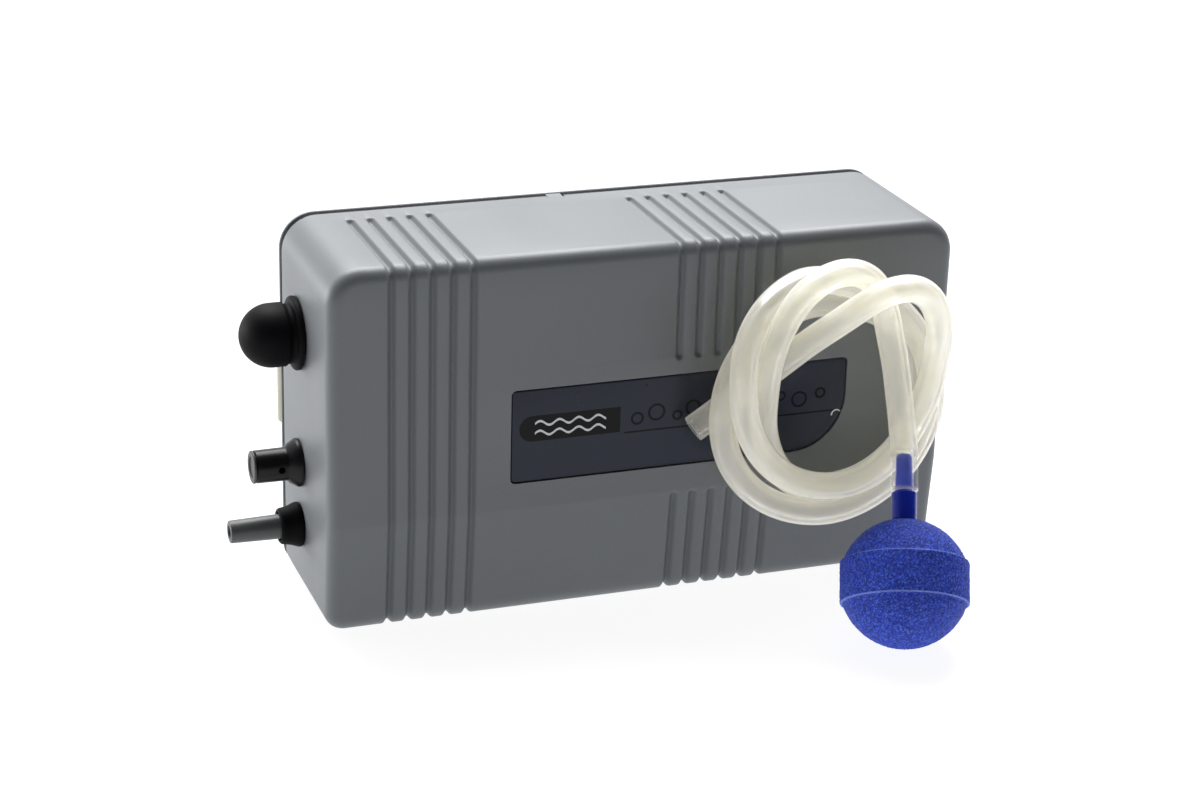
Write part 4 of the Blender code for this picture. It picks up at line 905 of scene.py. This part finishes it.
def make_clip():
    """A strip fixed at the left end, turned back on itself into a springy blade, with eased edges."""
    low, high = MID_HEIGHT - CLIP_WIDTH / 2, MID_HEIGHT + CLIP_WIDTH / 2
    root_x = 3.3
    inner, outer = CASE_DEPTH + GAP, CASE_DEPTH + CLIP_REACH
    bend_y = (inner + outer) / 2
    bend_outer = (outer - inner) / 2
    bend_inner = bend_outer - CLIP_THICKNESS
    bend_x = root_x - 0.15
    turns = [radians(-90 - 180 * k / 24) for k in range(25)]
    end = root_x + CLIP_LENGTH
    tip = [(end - 16, outer), (end - 13, outer - 0.45), (end - 9.5, outer - 1.55), (end - 6, outer - 2.0),
           (end - 3, outer - 1.6), (end, outer - 0.6)]
    outside = [(bend_x + bend_outer * cos(a), bend_y + bend_outer * sin(a)) for a in turns] + tip
    inside = [(bend_x + bend_inner * cos(a), bend_y + bend_inner * sin(a)) for a in turns]
    inside += [(x, y - CLIP_THICKNESS) for x, y in tip]

    def strip(share):
        near = [tuple(Vector(b).lerp(Vector(a), 1 - share)) for a, b in zip(outside, inside)]
        far = [tuple(Vector(a).lerp(Vector(b), 1 - share)) for a, b in zip(outside, inside)]
        return near + far[::-1]

    ease = 0.3
    loops = []
    for share, z in ((1 - ease / CLIP_THICKNESS, low), (1.0, low + ease), (1.0, high - ease),
                     (1 - ease / CLIP_THICKNESS, high)):
        loops.append([(x, y, z) for x, y in strip(share)])
    blade = loft("clip_strip", loops, "ivory", sharp_angle=30.0)
    place(blade, "clip", "ivory", "clip_blade")


# ---------------------------------------------------------------- fittings

def make_boot():
    """The switch's rubber dome on its ringed foot."""
    centre = spot(0, FITTING_Y, SWITCH_Z)
    dome_r, skin = 6.9, 1.3
    dome_x = dome_r - BOOT_REACH
    hollow_r = dome_r - skin
    outer = [(dome_x - dome_r * sin(a), dome_r * cos(a)) for a in
             (radians(5 * k) for k in range(1, 18))] + [(-BOOT_REACH, 0)]
    inner = [(-BOOT_REACH + skin, 0)] + [(dome_x - hollow_r * sin(a), hollow_r * cos(a)) for a in
                                         (radians(6 * k) for k in range(14, -1, -1))]
    profile = [(-GAP, hollow_r), (-GAP, 7.8), (-0.4, 7.98), (-0.95, 8.0), (-1.25, 7.85), (-1.5, 7.5),
               (-1.62, 6.9), (-1.8, 6.6), (-2.1, 6.46), (-2.6, 6.46), (-2.95, 6.6), (-3.2, 6.82),
               (-3.5, dome_r), (dome_x, dome_r)] + outer + inner
    boot = turned("boot_dome", profile, "X", centre, "black_rubber", 72)
    place(boot, "pump", "black_rubber", "switch_boot")
    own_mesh(boot)


def make_intake():
    """The air intake: a flared barrel with a small cross hole, and a grey button in its end."""
    centre = spot(0, FITTING_Y, INTAKE_Z)
    reach = INTAKE_REACH - 0.8
    profile = [(-reach, 1.9), (-reach, 3.45), (-reach + 0.15, 3.6), (-3.3, 3.65), (-2.95, 3.8), (-2.6, 4.25),
               (-1.1, 5.15), (-0.8, 5.3), (-GAP, 5.3), (-GAP, INTAKE_HOLE - GAP),
               (WALL + GAP, INTAKE_HOLE - GAP), (WALL + GAP, 4.7), (WALL + 1.6, 4.7), (WALL + 1.6, 3.2),
               (9.0, 3.0), (9.0, 1.9)]
    body = turned("intake_barrel", profile, "X", centre, "black_plastic")
    combine(body, rod("port_tool", "Y", -6.0, 0.0, 0.75, spot(-4.7, FITTING_Y, INTAKE_Z), 24),
            "DIFFERENCE")
    place(bake(body), "pump", "black_plastic", "intake_body")
    profile = [(-INTAKE_REACH + 0.35, 0), (-INTAKE_REACH + 0.35, 2.2), (-INTAKE_REACH + 0.05, 2.4),
               (-INTAKE_REACH, 2.6), (-INTAKE_REACH, 3.3), (-INTAKE_REACH + 0.12, 3.5),
               (-INTAKE_REACH + 0.25, 3.6), (-reach - GAP, 3.6), (-reach - GAP, 1.6), (-reach + 3.0, 1.6),
               (-reach + 3.0, 0)]
    place(turned("intake_button", profile, "X", centre, "cap_grey"), "pump", "light_grey", "intake_cap")


def make_nozzle():
    """The outlet: a tapered nozzle with a bore, in a stepped rubber grommet."""
    centre = spot(0, FITTING_Y, OUTLET_Z)
    bore, thick_end = 1.35, 2.95
    profile = [(-NOZZLE_REACH + 0.3, bore), (-NOZZLE_REACH, bore + 0.2), (-NOZZLE_REACH, 2.2),
               (-NOZZLE_REACH + 0.1, 2.4), (-NOZZLE_REACH + 0.35, 2.5), (5.0, thick_end), (5.0, 2.2),
               (9.0, 2.1), (9.0, bore)]
    place(turned("nozzle_taper", profile, "X", centre, "light_grey"), "pump", "light_grey", "outlet_nozzle")
    hole = thick_end + GAP
    profile = [(-4.7, hole - 0.1), (-4.9, hole + 0.1), (-4.9, 3.6), (-4.7, 3.85), (-4.4, 4.0), (-3.4, 4.15),
               (-2.5, 4.35), (-1.6, 4.7), (-1.0, 4.9), (-0.6, 4.95), (-GAP, 4.9), (-GAP, OUTLET_HOLE - GAP),
               (WALL + GAP, OUTLET_HOLE - GAP), (WALL + GAP, 5.5), (WALL + 1.6, 5.5), (WALL + 1.6, hole)]
    place(turned("nozzle_grommet", profile, "X", centre, "black_rubber"), "pump", "black_rubber",
          "outlet_grommet")


# ---------------------------------------------------------------- cells, motor and diaphragm

def make_cell(name, z, can_start, nub_side):
    """A D cell in a printed sleeve: crimped ends, a pressed steel cap and a gold band at the cap's end."""
    middle = spot(can_start + CELL_CAN / 2, CELL_Y, z)

    def piece(part, profile, mat):
        flipped = [(nub_side * (d - CELL_CAN / 2), r) for d, r in profile]
        return place(turned(f"{name}_{part}", flipped, "X", middle, mat, 96), "pump", "cell_sleeve",
                     *([name] if part == "sleeve" else []))

    edge = [radians(15 * k) for k in range(7)]
    low = [(0.9 - 0.9 * sin(a), CELL_RADIUS - 0.9 + 0.9 * cos(a)) for a in reversed(edge)]
    high = [(CELL_CAN - 0.9 + 0.9 * sin(a), CELL_RADIUS - 0.9 + 0.9 * cos(a)) for a in edge]
    piece("sleeve", [(0.5, 0), (0.5, 15.6)] + low + high + [(CELL_CAN - 0.4, 15.6), (CELL_CAN - 0.4, 0)],
          "cell_sleeve")
    piece("band", [(44.0, CELL_RADIUS - 0.4), (44.0, CELL_RADIUS + 0.04), (58.4, CELL_RADIUS + 0.04),
                   (58.4, CELL_RADIUS - 0.4)], "cell_band")
    piece("base", [(0.52, 0), (0.0, 0), (0.0, 8.6), (0.15, 9.0), (0.4, 9.4), (0.4, 14.2), (0.1, 14.7),
                   (0.1, 15.2), (0.52, 15.5)], "steel")
    top = CELL_CAN + NUB_LENGTH
    piece("cap", [(CELL_CAN - 0.42, 0), (CELL_CAN - 0.42, 15.2), (CELL_CAN - 0.05, 14.8),
                  (CELL_CAN - 0.05, NUB_RADIUS + 0.9), (CELL_CAN + 0.2, NUB_RADIUS + 0.3),
                  (top - 0.5, NUB_RADIUS), (top - 0.15, NUB_RADIUS - 0.2), (top, NUB_RADIUS - 0.6), (top, 0)],
          "steel")


def make_motor():
    """The motor's drawn steel can: a raised bearing at the front, a rounded shoulder and one groove."""
    axis = spot(MOTOR_X, 0, MOTOR_Z)
    skin, clear, round_edge = 0.8, SHAFT_RADIUS + GAP, 1.6
    edge = [radians(15 * k) for k in range(7)]
    shoulder = [(MOTOR_FRONT + round_edge - round_edge * cos(a),
                 MOTOR_RADIUS - round_edge + round_edge * sin(a)) for a in edge]
    groove = [(15.0, MOTOR_RADIUS), (15.3, MOTOR_RADIUS - 0.25), (15.9, MOTOR_RADIUS - 0.25),
              (16.2, MOTOR_RADIUS)]
    profile = [(MOTOR_FRONT - 1.4, clear), (MOTOR_FRONT - 1.4, 2.9), (MOTOR_FRONT - 1.2, 3.2),
               (MOTOR_FRONT, 3.2)] + shoulder + groove
    profile += [(MOTOR_BACK - 0.2, MOTOR_RADIUS), (MOTOR_BACK, MOTOR_RADIUS - 0.2),
                (MOTOR_BACK, MOTOR_RADIUS - skin), (MOTOR_FRONT + skin, MOTOR_RADIUS - skin - 1.2),
                (MOTOR_FRONT + skin, clear)]
    place(turned("motor_shell", profile, "Y", axis, "steel", 96), "pump", "steel", "motor_can")


def make_diaphragm():
    """A rubber cup: its rim sits under the pump head and its middle just above the rod's top."""
    axis = spot(MOTOR_X, HEAD_Y, 0)
    rim, low = DIAPHRAGM_RIM_Z, ROD_TOP + GAP
    flare = 12
    outer = [(low + 0.15 + (rim - 1.15 - low) * k / flare,
              2.8 + 3.0 * (1 - cos(pi * k / flare)) / 2) for k in range(flare + 1)]
    inner = [(low + 1.1 + (rim - low - 1.1) * k / flare,
              2.3 + 3.1 * (1 - cos(pi * k / flare)) / 2) for k in range(flare, -1, -1)]
    profile = [(low, 0), (low, 2.6)] + outer + [(rim - 1.0, 6.8), (rim - 0.8, 7.0), (rim - 0.2, 7.0),
                                                (rim, 6.8)] + inner + [(low + 1.1, 0)]
    cup = turned("diaphragm_cup", profile, "Z", axis, "black_rubber", 72)
    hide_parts("diaphragm")
    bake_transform(cup)


# ---------------------------------------------------------------- the scene

# The CAD's own materials make way for finishes named after the same slots
for mat in list(bpy.data.materials):
    mat.name = "cad_" + mat.name
add_camera()
add_floor()
add_light()
make_materials()
hose, route, hose_length = make_hose()
stone = make_air_stone()
make_case()
make_label()
make_cover()
make_gasket()
make_clip()
make_boot()
make_intake()
make_nozzle()
make_cell("cell_upper", UPPER_CELL_Z, CONTACT_BACK + GAP + NUB_LENGTH, -1)
make_cell("cell_lower", LOWER_CELL_Z, BRIDGE_X - GAP - NUB_LENGTH - CELL_CAN, 1)
make_motor()
make_diaphragm()
# Every CAD piece that is still shown takes its slot's finish
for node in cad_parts.values():
    for slot in node.material_slots:
        base = slot.material.name.removeprefix("cad_").split(".")[0]
        if base in SLOTS:
            slot.material = SLOTS[base]
